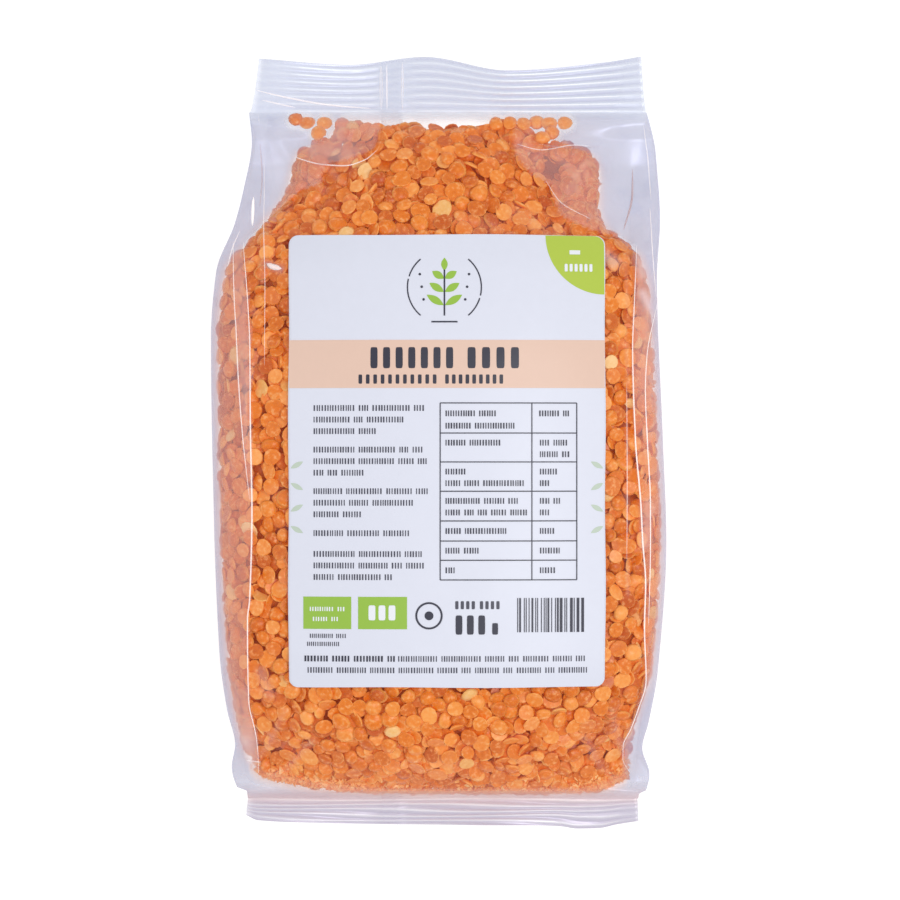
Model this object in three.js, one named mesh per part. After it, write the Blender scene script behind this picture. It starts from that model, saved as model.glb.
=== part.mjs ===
// A clear side-gusseted bag of split lentils, lying on its back, with a paper label on its front.
// Millimetres, +Z up. The label faces +Z, the top seal points along +Y, and the origin lies on the
// surface under the middle of the bag.

import * as THREE from "three";

// Lengths along the bag: the filled body lies between the two crimped seals
const BODY_BOTTOM = -94.3;
const BODY_TOP = 87.4;
const SEAL_THICKNESS = 0.9;
const TOP_SEAL_HEIGHT = 8.0;
const BOTTOM_SEAL_HEIGHT = 9.0;

// The widest reach of the side gussets, as [y, x]
const LEFT_SIDE = [
  [BODY_BOTTOM, -50.8], [-91, -53.6], [-86, -54.9], [-80, -54.0], [-70, -56.0], [-55, -57.8],
  [-20, -59.2], [28, -60.0], [45, -58.7], [58, -53.9], [68, -51.6], [80, -49.6], [BODY_TOP, -50.3],
];
const RIGHT_SIDE = [
  [BODY_BOTTOM, 53.0], [-92, 55.0], [-88, 55.8], [-81, 54.0], [-74, 55.5], [-60, 57.8],
  [-26, 60.0], [0, 59.1], [43, 57.6], [60, 58.6], [77, 57.6], [BODY_TOP, 55.2],
];

// The creases between the front panel and the gussets, as [y, x]
const LEFT_CREASE = [
  [BODY_BOTTOM, -50.4], [-86, -51.4], [-75, -52.0], [-57, -51.8], [-46, -49.6], [-20, -49.0],
  [5, -49.2], [30, -46.6], [58, -45.7], [75, -47.0], [BODY_TOP, -49.9],
];
const RIGHT_CREASE = [
  [BODY_BOTTOM, 52.6], [-88, 52.0], [-75, 53.0], [-57, 54.3], [-26, 53.3], [0, 51.8],
  [25, 50.7], [56, 49.6], [70, 51.3], [BODY_TOP, 54.8],
];

// Heights of the front and the back along the middle of the bag, as [y, z]
const FRONT_HEIGHT = [
  [BODY_BOTTOM, BOTTOM_SEAL_HEIGHT + SEAL_THICKNESS / 2], [-92, 15], [-88, 22.5], [-82, 30.5],
  [-72, 37], [-55, 40.5], [-20, 41.5], [20, 41], [45, 38], [60, 33], [72, 26.5], [80, 20],
  [BODY_TOP, TOP_SEAL_HEIGHT + SEAL_THICKNESS / 2],
];
const BACK_HEIGHT = [
  [BODY_BOTTOM, BOTTOM_SEAL_HEIGHT - SEAL_THICKNESS / 2], [-88, 3.5], [-78, 0],
  [68, 0], [80, 3.5], [BODY_TOP, TOP_SEAL_HEIGHT - SEAL_THICKNESS / 2],
];

// Where the creases stand, as a share of the bag's depth: low at the empty, flattened corners
const FRONT_CREASE_SHARE = [
  [BODY_BOTTOM, 0.9], [-90, 0.3], [-84, 0.3], [-74, 0.58], [-58, 0.74], [0, 0.77],
  [44, 0.73], [56, 0.64], [66, 0.42], [74, 0.3], [80, 0.3], [BODY_TOP, 0.9],
];
const BACK_CREASE_SHARE = 0.12;

// How the front rises from crease to middle: (1 - e^DOME_POWER)^fall, steeper at the heap's shoulders
const DOME_POWER = 2.6;
const DOME_FALL = [[BODY_BOTTOM, 1.0], [44, 1.0], [64, 1.45], [78, 1.7], [BODY_TOP, 1.0]];
const GUSSET_POWER = 0.8;
const BACK_FLAT_SHARE = 0.6;
const BACK_ROUNDING = 2.2;

// The free edges of the seals, as [x, y], and their crimped ribs
const TOP_EDGE = [[-47.6, 101.7], [-24, 100.2], [-4, 102.3], [18, 98.6], [44, 100.9], [53.7, 102.4]];
const BOTTOM_EDGE = [[-48.6, -99.9], [-10, -100.8], [8, -101.2], [20, -102.0], [40, -102.4], [53.2, -101.2]];
const TOP_RIBS = 7;
const BOTTOM_RIBS = 5;
const RIB_DEPTH = 0.5;
const SEAL_CURL = 1.6;
const SEAL_CURL_LENGTH = 58;
const SEAL_LIP = 0.3;

// The paper label
const LABEL_WIDTH = 82.5;
const LABEL_HEIGHT = 117.8;
const LABEL_CENTRE = [2.2, -4.8];
const LABEL_CORNER = 2.4;
const LABEL_THICKNESS = 0.4;
const LABEL_GAP = 0.35;

// Steps of the surfaces
const PANEL_STEPS = 16;
const GUSSET_STEPS = 6;
const BODY_STEPS = 42;
const LABEL_COLUMNS = 16;
const LABEL_ROWS = 22;
const CORNER_STEPS = 4;

const filmOverLentils = new THREE.MeshStandardMaterial({ color: 0xe0864a, roughness: 0.3, metalness: 0 });
const labelPaper = new THREE.MeshStandardMaterial({ color: 0xdfe1ee, roughness: 0.45, metalness: 0 });

const mix = THREE.MathUtils.lerp;

/** A smooth curve through [position, value] stations that never passes beyond them. */
function follow(stations, position) {
  const last = stations.length - 1;
  const place = THREE.MathUtils.clamp(position, stations[0][0], stations[last][0]);
  const span = (i) => stations[i + 1][0] - stations[i][0];
  const slope = (i) => (stations[i + 1][1] - stations[i][1]) / span(i);
  const tangent = (i) => {
    if (i === 0) return slope(0);
    if (i === last) return slope(last - 1);
    const before = slope(i - 1);
    const after = slope(i);
    return before * after <= 0 ? 0 : (2 * before * after) / (before + after);
  };
  let i = 0;
  while (i < last - 1 && place > stations[i + 1][0]) i += 1;
  const t = (place - stations[i][0]) / span(i);
  const rise = stations[i + 1][1] - stations[i][1];
  const start = tangent(i) * span(i);
  const end = tangent(i + 1) * span(i);
  return stations[i][1] + start * t + (3 * rise - 2 * start - end) * t ** 2 + (start + end - 2 * rise) * t ** 3;
}

/** The named sizes of the bag's section at one place along it. */
function sectionAt(y) {
  const front = follow(FRONT_HEIGHT, y);
  const back = follow(BACK_HEIGHT, y);
  return {
    y,
    front,
    back,
    frontCrease: mix(back, front, follow(FRONT_CREASE_SHARE, y)),
    backCrease: mix(back, front, BACK_CREASE_SHARE),
    leftCrease: follow(LEFT_CREASE, y),
    rightCrease: follow(RIGHT_CREASE, y),
    leftSide: follow(LEFT_SIDE, y),
    rightSide: follow(RIGHT_SIDE, y),
    fall: follow(DOME_FALL, y),
  };
}

/** How far a place across a panel lies from its middle: 0 in the middle, 1 at a crease. */
function offMiddle(section, x) {
  const share = (x - section.leftCrease) / (section.rightCrease - section.leftCrease);
  return Math.min(1, Math.abs(2 * share - 1));
}

/** The height of the front panel over the point x, y. */
function frontHeight(section, x) {
  const dome = (1 - offMiddle(section, x) ** DOME_POWER) ** section.fall;
  return mix(section.frontCrease, section.front, dome);
}

/** The height of the back panel, flat in the middle where it rests and rounded up to its creases. */
function backHeight(section, x) {
  const rounding = Math.max(0, offMiddle(section, x) - BACK_FLAT_SHARE) / (1 - BACK_FLAT_SHARE);
  return mix(section.back, section.backCrease, rounding ** BACK_ROUNDING);
}

/** The ring's places in order: front left to right, right gusset, back right to left, left gusset. */
function ringPlaces() {
  const places = [];
  for (let i = 0; i <= PANEL_STEPS; i += 1) places.push({ panel: "front", share: i / PANEL_STEPS });
  for (let i = 1; i < GUSSET_STEPS; i += 1) places.push({ panel: "right", share: i / GUSSET_STEPS });
  for (let i = 0; i <= PANEL_STEPS; i += 1) places.push({ panel: "back", share: 1 - i / PANEL_STEPS });
  for (let i = 1; i < GUSSET_STEPS; i += 1) places.push({ panel: "left", share: 1 - i / GUSSET_STEPS });
  return places;
}

/** A point of the filled body; a gusset's share runs from the front crease to the back crease. */
function bodyPoint(section, { panel, share }) {
  if (panel === "front" || panel === "back") {
    const x = mix(section.leftCrease, section.rightCrease, share);
    const height = panel === "front" ? frontHeight(section, x) : backHeight(section, x);
    return [x, section.y, height];
  }
  const crease = panel === "left" ? section.leftCrease : section.rightCrease;
  const side = panel === "left" ? section.leftSide : section.rightSide;
  const bulge = Math.sin(Math.PI * share) ** GUSSET_POWER;
  return [mix(crease, side, bulge), section.y, mix(section.frontCrease, section.backCrease, share)];
}

/** A point of a seal: out runs from 0 at the body to 1 at the free edge, and the ribs cross it. */
function sealPoint(seal, out, { panel, share }) {
  const left = mix(seal.inner[0], seal.edge[0][0], out);
  const right = mix(seal.inner[1], seal.edge.at(-1)[0], out);
  const across = panel === "front" || panel === "back" ? share : Number(panel === "right");
  const lip = panel === "right" ? SEAL_LIP : panel === "left" ? -SEAL_LIP : 0;
  const flat = mix(left, right, across);
  const x = flat + lip * Math.sin(Math.PI * share);
  const y = mix(seal.start, follow(seal.edge, flat), out);
  const rib = (RIB_DEPTH / 2) * Math.sin(Math.PI * (2 * seal.ribs * out)) * Number(out > 0 && out < 1);
  const curl = SEAL_CURL * out * Math.sin((2 * Math.PI * flat) / SEAL_CURL_LENGTH);
  const through = panel === "front" ? 1 : panel === "back" ? -1 : 1 - 2 * share;
  return [x, y, seal.height + curl + rib + (through * SEAL_THICKNESS) / 2];
}

/** Joins rings of equal length into one closed skin with a flat cap at each end. */
function skinOf(rings) {
  const size = rings[0].length;
  const faces = [];
  for (let row = 0; row + 1 < rings.length; row += 1) {
    for (let i = 0; i < size; i += 1) {
      const a = row * size + i;
      const b = row * size + ((i + 1) % size);
      faces.push(a, b, b + size, a, b + size, a + size);
    }
  }
  const capAt = (row, turned) => {
    const outline = rings[row].map(([x, , z]) => new THREE.Vector2(x, z)).reverse();
    for (const [a, b, c] of THREE.ShapeUtils.triangulateShape(outline, [])) {
      const corner = (i) => row * size + size - 1 - i;
      faces.push(...(turned ? [corner(a), corner(b), corner(c)] : [corner(c), corner(b), corner(a)]));
    }
  };
  capAt(0, true);
  capAt(rings.length - 1, false);
  return surfaceFrom(rings.flat(), faces);
}

function surfaceFrom(points, faces) {
  const geometry = new THREE.BufferGeometry();
  geometry.setAttribute("position", new THREE.Float32BufferAttribute(points.flat(), 3));
  geometry.setIndex(faces);
  geometry.computeVertexNormals();
  return geometry;
}

/** The bag: bottom seal, filled body and top seal as one skin. */
function bagGeometry() {
  const places = ringPlaces();
  const bottomSeal = {
    start: BODY_BOTTOM, height: BOTTOM_SEAL_HEIGHT, edge: BOTTOM_EDGE, ribs: BOTTOM_RIBS,
    inner: [LEFT_CREASE[0][1], RIGHT_CREASE[0][1]],
  };
  const topSeal = {
    start: BODY_TOP, height: TOP_SEAL_HEIGHT, edge: TOP_EDGE, ribs: TOP_RIBS,
    inner: [LEFT_CREASE.at(-1)[1], RIGHT_CREASE.at(-1)[1]],
  };
  const sealRings = (seal) => {
    const rows = [];
    for (let i = 0; i < seal.ribs; i += 1) rows.push((i + 0.25) / seal.ribs, (i + 0.75) / seal.ribs);
    rows.push(1);
    return rows.map((out) => places.map((place) => sealPoint(seal, out, place)));
  };
  const bodyRings = [];
  for (let i = 0; i <= BODY_STEPS; i += 1) {
    const along = (1 - Math.cos((Math.PI * i) / BODY_STEPS)) / 2;
    const section = sectionAt(mix(BODY_BOTTOM, BODY_TOP, mix(along, i / BODY_STEPS, 0.35)));
    bodyRings.push(places.map((place) => bodyPoint(section, place)));
  }
  return skinOf([...sealRings(bottomSeal).reverse(), ...bodyRings, ...sealRings(topSeal)]);
}

/** The label's rows from bottom to top, as [y, half width], with quarter-round corners. */
function labelRows() {
  const corner = [];
  for (let i = 0; i < CORNER_STEPS; i += 1) {
    const turn = (Math.PI / 2) * (i / CORNER_STEPS);
    const inset = LABEL_CORNER * (1 - Math.sin(turn));
    corner.push([LABEL_HEIGHT / 2 - LABEL_CORNER * (1 - Math.cos(turn)), LABEL_WIDTH / 2 - inset]);
  }
  const straight = [];
  for (let i = 0; i <= LABEL_ROWS; i += 1) {
    straight.push([mix(-1, 1, i / LABEL_ROWS) * (LABEL_HEIGHT / 2 - LABEL_CORNER), LABEL_WIDTH / 2]);
  }
  return [...corner.map(([y, half]) => [-y, half]), ...straight, ...corner.reverse()];
}

/** A sheet that follows the front of the bag at one distance above it, closed all round. */
function labelGeometry() {
  const rows = labelRows();
  const wide = LABEL_COLUMNS + 1;
  const points = [];
  for (const lift of [LABEL_GAP, LABEL_GAP + LABEL_THICKNESS]) {
    for (const [up, half] of rows) {
      const y = LABEL_CENTRE[1] + up;
      const section = sectionAt(y);
      for (let i = 0; i < wide; i += 1) {
        const x = LABEL_CENTRE[0] + mix(-half, half, i / LABEL_COLUMNS);
        points.push([x, y, frontHeight(section, x) + lift]);
      }
    }
  }
  const under = (row, i) => row * wide + i;
  const upper = (row, i) => (rows.length + row) * wide + i;
  const faces = [];
  const addQuad = (a, b, c, d) => faces.push(a, b, c, a, c, d);
  for (let row = 0; row + 1 < rows.length; row += 1) {
    for (let i = 0; i < LABEL_COLUMNS; i += 1) {
      addQuad(upper(row, i), upper(row, i + 1), upper(row + 1, i + 1), upper(row + 1, i));
      addQuad(under(row, i), under(row + 1, i), under(row + 1, i + 1), under(row, i + 1));
    }
    addQuad(under(row, 0), upper(row, 0), upper(row + 1, 0), under(row + 1, 0));
    addQuad(under(row, wide - 1), under(row + 1, wide - 1), upper(row + 1, wide - 1), upper(row, wide - 1));
  }
  const top = rows.length - 1;
  for (let i = 0; i < LABEL_COLUMNS; i += 1) {
    addQuad(under(0, i), under(0, i + 1), upper(0, i + 1), upper(0, i));
    addQuad(under(top, i), upper(top, i), upper(top, i + 1), under(top, i + 1));
  }
  return surfaceFrom(points, faces);
}

function namedMesh(name, geometry, material) {
  const mesh = new THREE.Mesh(geometry, material);
  mesh.name = name;
  return mesh;
}

const bagOfLentils = new THREE.Group();
bagOfLentils.add(namedMesh("bag", bagGeometry(), filmOverLentils));
bagOfLentils.add(namedMesh("label", labelGeometry(), labelPaper));

export default bagOfLentils;
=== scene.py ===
# %% [markdown]
# # A clear bag of split lentils
# The real object is a tube of clear film with folded sides, welded shut at both ends, filled with
# split red lentils and closed by a paper label on its front. It lies on its back: +Z points out of
# the labelled front and +Y towards the top weld. The shapes below are worked out in millimetres and
# become metres when a mesh is made, so every number reads like a number on a drawing.

import math

import bpy
import numpy as np
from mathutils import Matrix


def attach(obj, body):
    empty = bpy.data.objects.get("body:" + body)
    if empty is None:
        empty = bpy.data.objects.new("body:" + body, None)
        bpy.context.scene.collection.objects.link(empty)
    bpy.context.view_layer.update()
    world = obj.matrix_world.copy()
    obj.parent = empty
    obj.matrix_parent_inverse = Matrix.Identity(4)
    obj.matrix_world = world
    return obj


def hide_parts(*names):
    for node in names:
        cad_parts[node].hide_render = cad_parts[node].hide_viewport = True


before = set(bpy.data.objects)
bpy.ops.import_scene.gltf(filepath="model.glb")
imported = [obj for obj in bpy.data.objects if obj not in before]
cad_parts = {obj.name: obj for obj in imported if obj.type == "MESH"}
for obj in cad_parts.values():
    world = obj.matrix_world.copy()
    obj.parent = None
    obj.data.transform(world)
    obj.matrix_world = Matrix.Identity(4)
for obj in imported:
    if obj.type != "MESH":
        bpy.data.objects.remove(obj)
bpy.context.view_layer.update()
MM = 0.001
random = np.random.default_rng(57)

# %% [markdown]
# ## Curves through a few stations
# A filled bag has no straight edge, but its edges are calm: they turn a few times along its length.
# A short list of measured stations and a curve that never swings past them describes such an edge
# better than a formula would, and each station can be checked with a ruler.


# %% A curve that keeps between its stations
def follow(stations, place):
    """The value at each place along [place, value] stations. Between two stations the curve is a
    cubic whose end slopes are the harmonic mean of the slopes on both sides of the station, or
    nought where the stations turn back, so it never passes beyond them."""
    places, values = np.asarray(stations, float).T
    spans = np.diff(places)
    slopes = np.diff(values) / spans
    before = slopes[:-1]
    after = slopes[1:]
    agree = before * after > 0
    shared = 2 * before * after / np.where(agree, before + after, 1)
    tangents = np.concatenate([slopes[:1], np.where(agree, shared, 0), slopes[-1:]])
    inside = np.clip(place, places[0], places[-1])
    i = np.clip(np.searchsorted(places, inside) - 1, 0, len(spans) - 1)
    t = (inside - places[i]) / spans[i]
    rise = values[i + 1] - values[i]
    start = tangents[i] * spans[i]
    end = tangents[i + 1] * spans[i]
    return values[i] + start * t + (3 * rise - 2 * start - end) * t**2 + (start + end - 2 * rise) * t**3


def mix(low, high, share):
    """The value that lies this share of the way from low to high."""
    return low + (high - low) * share


# %% [markdown]
# ## The bag's own sizes
# The bag has four panels: the front, the back, and a gusset on each side that bulges out between its
# two creases. The widths, creases and heights below are the same ones the solid model is built from,
# so what is made here lies where that solid lies.

# %% Driving sizes of the bag, in millimetres
BODY_BOTTOM = -94.3
BODY_TOP = 87.4
SEAL_THICKNESS = 0.9
TOP_SEAL_HEIGHT = 8.0
BOTTOM_SEAL_HEIGHT = 9.0
BACK_CREASE_SHARE = 0.12
BACK_FLAT_SHARE = 0.6
BACK_ROUNDING = 2.2
DOME_POWER = 2.6
GUSSET_POWER = 0.8

FILM_SHAPE = {
    "left_side": [
        [BODY_BOTTOM, -50.6], [-92.2, -50.9], [-91.4, -53.4], [-86, -54.9], [-80, -54.0], [-70, -56.0],
        [-55, -57.8], [-20, -59.2], [28, -60.0], [45, -58.7], [58, -53.9], [68, -51.6], [80, -49.6],
        [BODY_TOP, -50.3],
    ],
    "right_side": [
        [BODY_BOTTOM, 52.9], [-93.0, 53.2], [-92.2, 54.9], [-88, 55.9], [-81, 54.0], [-74, 55.5], [-60, 57.8],
        [-26, 60.0], [0, 59.1], [43, 57.6], [60, 58.6], [77, 57.6], [BODY_TOP, 55.2],
    ],
    "left_crease": [
        [BODY_BOTTOM, -50.4], [-86, -51.4], [-75, -52.0], [-57, -51.8], [-46, -49.6], [-20, -49.0],
        [5, -49.2], [30, -46.6], [58, -45.7], [75, -47.0], [BODY_TOP, -50.2],
    ],
    "right_crease": [
        [BODY_BOTTOM, 52.6], [-88, 52.0], [-75, 53.0], [-57, 54.3], [-26, 53.3], [0, 51.8],
        [25, 50.7], [56, 49.6], [70, 51.3], [BODY_TOP, 55.1],
    ],
    "front": [
        [BODY_BOTTOM, BOTTOM_SEAL_HEIGHT + SEAL_THICKNESS / 2], [-92, 15], [-88, 22.5], [-82, 30.5],
        [-72, 37], [-55, 40.5], [-20, 41.5], [20, 41], [45, 38], [60, 33], [72, 26.5], [80, 20],
        [BODY_TOP, TOP_SEAL_HEIGHT + SEAL_THICKNESS / 2],
    ],
    "back": [
        [BODY_BOTTOM, BOTTOM_SEAL_HEIGHT - SEAL_THICKNESS / 2], [-88, 3.5], [-78, 0],
        [68, 0], [80, 3.5], [BODY_TOP, TOP_SEAL_HEIGHT - SEAL_THICKNESS / 2],
    ],
    "crease_share": [
        [BODY_BOTTOM, 0.9], [-90, 0.3], [-84, 0.3], [-74, 0.58], [-58, 0.74], [0, 0.77],
        [44, 0.73], [56, 0.64], [66, 0.42], [74, 0.3], [80, 0.3], [BODY_TOP, 0.9],
    ],
    "fall": [[BODY_BOTTOM, 1.0], [44, 1.0], [64, 1.45], [78, 1.7], [BODY_TOP, 1.0]],
    "crest_shift": [[BODY_BOTTOM, 0.0], [BODY_TOP, 0.0]],
}


# %% The surface of a bag-shaped body
def section(shape, y):
    """The named sizes of the cross-section at each y."""
    sizes = {name: follow(stations, y) for name, stations in shape.items()}
    depth = sizes["front"] - sizes["back"]
    sizes["front_crease"] = sizes["back"] + depth * sizes["crease_share"]
    sizes["back_crease"] = sizes["back"] + depth * BACK_CREASE_SHARE
    sizes["crest"] = mix(sizes["left_crease"], sizes["right_crease"], 0.5) + sizes["crest_shift"]
    return sizes


def off_crest(sizes, x):
    """How far x lies from the crest line of a panel: 0 on the crest and 1 at either crease."""
    to_left = (sizes["crest"] - x) / (sizes["crest"] - sizes["left_crease"])
    to_right = (x - sizes["crest"]) / (sizes["right_crease"] - sizes["crest"])
    return np.clip(np.maximum(to_left, to_right), 0, 1)


def front_height(sizes, x):
    """Height of the front panel: crease height plus a dome, (1 - off ** power) ** fall."""
    dome = (1 - off_crest(sizes, x) ** DOME_POWER) ** sizes["fall"]
    return mix(sizes["front_crease"], sizes["front"], dome)


def back_height(sizes, x):
    """Height of the back panel: flat in the middle, then a power curve up to its creases."""
    rounding = np.maximum(0, off_crest(sizes, x) - BACK_FLAT_SHARE) / (1 - BACK_FLAT_SHARE)
    return mix(sizes["back"], sizes["back_crease"], rounding**BACK_ROUNDING)


def ring_surface(shape, around, y):
    """Points of the skin. around runs from 0 to 4: front from left to right, right gusset down,
    back from right to left, left gusset up. A gusset bulges out by a half sine to a power."""
    sizes = section(shape, y)
    panel = np.floor(around).astype(int) % 4
    share = around - np.floor(around)
    front_x = mix(sizes["left_crease"], sizes["right_crease"], share)
    back_x = mix(sizes["right_crease"], sizes["left_crease"], share)
    bulge = np.sin(np.pi * share) ** GUSSET_POWER
    right_x = mix(sizes["right_crease"], sizes["right_side"], bulge)
    left_x = mix(sizes["left_crease"], sizes["left_side"], bulge)
    x = np.choose(panel, np.broadcast_arrays(front_x, right_x, back_x, left_x))
    z = np.choose(panel, np.broadcast_arrays(
        front_height(sizes, front_x),
        mix(sizes["front_crease"], sizes["back_crease"], share),
        back_height(sizes, back_x),
        mix(sizes["back_crease"], sizes["front_crease"], share),
    ))
    return np.stack(np.broadcast_arrays(x, y + 0 * x, z), axis=-1)


print("front height in the middle:", front_height(section(FILM_SHAPE, np.array([0.0])), np.array([2.0])))

# %% [markdown]
# ## The heap of lentils
# The heap fills the bag where the film presses on it, and stands clear of the film at the two top
# corners and above the bottom weld, where the film lies empty. So the heap is the bag's shape again
# with narrower ends. Of its front only a middle part is seen through a single clear film: the clear
# window. Beside it the gusset film lies double over the lentils, and in the top corners the heap
# lies lower, behind the tucked gusset.

# %% The heap's shape
HEAP_SHAPE = {
    **FILM_SHAPE,
    "left_side": [
        [BODY_BOTTOM, -9], [-93.3, -21], [-91.7, -33], [-90, -42], [-88, -48.0], [-84, -51.6], [-78, -53.4],
        [-70, -54.9], [-55, -56.6], [-20, -58.4], [28, -59.1], [45, -57.2], [52, -52.0], [60, -45.6],
        [66, -41.6], [72, -40.0], [77, -38.0], [80, -31.0], [BODY_TOP, -27],
    ],
    "right_side": [
        [BODY_BOTTOM, 22], [-93.6, 34], [-92.3, 42], [-90, 47.9], [-87, 50.4], [-81, 50.4], [-76, 52.0],
        [-70, 53.8], [-60, 56.8], [-26, 59.2], [0, 58.4], [12, 58.0], [26, 57.2], [40, 56.4], [48, 54.4],
        [52.5, 50.4], [56.5, 45.2], [61, 43.6], [71, 43.8], [75.5, 42.2], [78.5, 35], [82, 26],
        [BODY_TOP, 18],
    ],
    "left_crease": [
        [BODY_BOTTOM, -8], [-93.3, -20], [-91.7, -32], [-90, -40], [-88, -46], [-84, -49.4], [-75, -50.6],
        [-57, -51.2], [-46, -49.6], [-20, -49.0], [5, -49.2], [30, -46.6], [52, -45.4], [60, -42.0],
        [66, -38.8], [72, -37.4], [77, -35.4], [80, -29.0], [BODY_TOP, -25],
    ],
    "right_crease": [
        [BODY_BOTTOM, 21], [-93.6, 33], [-92.3, 41], [-90, 46.6], [-87, 49.6], [-80, 51.0], [-57, 53.4],
        [-26, 53.0], [0, 51.8], [25, 50.7], [50, 48.6], [56.5, 43.0], [61, 41.2], [71, 41.0], [75.5, 39.4],
        [78.5, 33], [82, 24], [BODY_TOP, 17],
    ],
    "crest_shift": [[BODY_BOTTOM, 0.0], [48, 0.0], [66, -5.0], [78, -7.0], [BODY_TOP, 0.0]],
    "fall": [[BODY_BOTTOM, 1.0], [44, 1.0], [60, 1.5], [74, 2.0], [BODY_TOP, 1.6]],
}
# The lowest lentils, as [x, y]
HEAP_LOW = [
    [-50.7, -84.6], [-47.8, -88.0], [-40.1, -89.9], [-28.8, -91.7], [-13.8, -93.3], [5.7, -94.3],
    [13.8, -94.3], [29.1, -93.8], [40.1, -92.5], [47.8, -89.9], [51.2, -88.0],
]
# Both edges of the clear window, as [y, x]
CLEAR_LEFT = [
    [-87.8, -47.6], [-80.7, -47.8], [-76.7, -48.1], [-67.8, -49.7], [-46.4, -49.9], [-40.7, -49.3],
    [-18, -48.7], [3.3, -49.1], [24.3, -49.3], [38.6, -50.1], [52.8, -51.4], [58.5, -44.9], [62.5, -40.9],
    [66.4, -36.4], [68.5, -31.0], [73, -30.0], [75, -23.0], [77.5, -17.0], [86, -15.0],
]
CLEAR_RIGHT = [
    [-87.5, 50.7], [-83.6, 48.7], [-79.9, 48.7], [-75.9, 50.3], [-69.9, 52.4], [-62.5, 54.3], [-48.3, 53.8],
    [-37, 54.1], [-25.7, 53.3], [-15.9, 52.8], [0.7, 51.4], [24.6, 50.7], [35.9, 51.2], [51.7, 52.0],
    [53.8, 47.8], [55.9, 39.9], [59.9, 32.0], [67.8, 29.0], [70.4, 24.9], [77, 20.0], [86, 20.0],
]
# Loose lentils above the heap that the photo shows one by one, as [x, y, lean across, lean along]
STRAYS = [
    [-37.9, 85.6, 0.1, 0.5], [-34.9, 84.8, -0.1, 0.6], [-30.2, 84.7, 0.1, 0.5], [-31.8, 82.0, 0.1, 0.5],
    [15.2, 84.3, -0.1, 0.5], [18.9, 84.8, 0.1, 0.5], [22.6, 84.5, 0.1, 0.5], [26.0, 84.8, -0.1, 0.5],
    [29.3, 84.5, 0.1, 0.5], [33.4, 84.7, -0.1, 0.5], [29.9, 81.9, 0.2, 0.4], [27.4, 80.4, 0.1, 0.4],
]
EMPTY_MARGIN = 2.0
TUCK_START = 52.0
TUCK_EASE = 5.0
TUCK_WIDTH = 10.0
TUCK_DROP = 0.16


def ease(value, low, high):
    """0 below low, 1 above high, and a smooth step between."""
    t = np.clip((value - low) / (high - low), 0, 1)
    return t * t * (3 - 2 * t)


def past_window(x, y):
    """Millimetres by which x lies outside the clear window at y; below 0 it lies inside."""
    return np.maximum(follow(CLEAR_LEFT, y) - x, x - follow(CLEAR_RIGHT, y))


def past_heap(x, y):
    """Millimetres by which a place lies outside the heap's outline as seen from the front, where the
    outermost lentils end a margin inside the heap's sides."""
    beside = np.maximum(follow(HEAP_SHAPE["left_side"], y) - x, x - follow(HEAP_SHAPE["right_side"], y))
    return np.maximum(beside + EMPTY_MARGIN, follow(HEAP_LOW, x) - y)


def heap_surface(around, y):
    """The heap's skin: its own ring surface, never above the front film, and lower by a share of its
    depth where it lies behind the tucked gusset."""
    points = ring_surface(HEAP_SHAPE, around, y)
    x, y, z = np.moveaxis(points, -1, 0)
    film_front = front_height(section(FILM_SHAPE, y), x)
    tucked = ease(past_window(x, y), 0, TUCK_WIDTH) * ease(y, TUCK_START, TUCK_START + TUCK_EASE)
    on_front = np.floor(around) == 0
    lowered = mix(z, section(HEAP_SHAPE, y)["back"], TUCK_DROP * tucked)
    points[..., 2] = np.where(on_front, np.minimum(lowered, film_front), z)
    return points


# %% [markdown]
# ## From arrays to a mesh
# Every piece is a grid of points or many copies of a small template, so one helper takes an array of
# points and an array of faces and hands both to Blender in one go. Named point values, such as a
# lentil's tone, travel with the mesh as attributes that a material can read.


# %% Mesh helpers
def grid_faces(rows, columns, closed=False):
    """Four-sided faces of a rows by columns grid of points; closed joins the last column to the
    first."""
    spans = columns if closed else columns - 1
    row, column = np.meshgrid(np.arange(rows - 1), np.arange(spans), indexing="ij")
    here = row * columns + column
    beside = row * columns + (column + 1) % columns
    return np.stack([here, beside, beside + columns, here + columns], axis=-1).reshape(-1, 4)


def new_piece(name, points, faces, material, values=None, flat_faces=None):
    """A mesh object at the origin from points in millimetres; faces is one array, or a list of arrays
    of triangles and quads. values holds point attributes by name."""
    groups = faces if isinstance(faces, list) else [faces]
    corners = np.concatenate([group.ravel() for group in groups])
    sizes = np.concatenate([np.full(len(group), group.shape[1]) for group in groups])
    mesh = bpy.data.meshes.new(name)
    mesh.vertices.add(len(points))
    mesh.vertices.foreach_set("co", (np.asarray(points) * MM).astype(np.float32).ravel())
    mesh.loops.add(len(corners))
    mesh.loops.foreach_set("vertex_index", corners.astype(np.int32))
    mesh.polygons.add(len(sizes))
    mesh.polygons.foreach_set("loop_start", (np.cumsum(sizes) - sizes).astype(np.int32))
    smooth = np.ones(len(sizes), bool)
    if flat_faces is not None:
        smooth[flat_faces] = False
    mesh.polygons.foreach_set("use_smooth", smooth)
    mesh.update(calc_edges=True)
    for label, column in (values or {}).items():
        attribute = mesh.attributes.new(label, "FLOAT", "POINT")
        attribute.data.foreach_set("value", np.asarray(column, np.float32).ravel())
    mesh.materials.append(material)
    piece = bpy.data.objects.new(name, mesh)
    bpy.context.scene.collection.objects.link(piece)
    print(name, "points", len(points), "triangles", int((sizes - 2).sum()))
    return piece


# %% [markdown]
# ## Materials
# A few helpers keep the node trees short: they make a node and set its sockets, calculate, blend
# colours, and open a new material with its Principled shader. Effects that several materials share
# are node groups that put out only values: a fine grain, and the crinkle of packing film.


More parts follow.
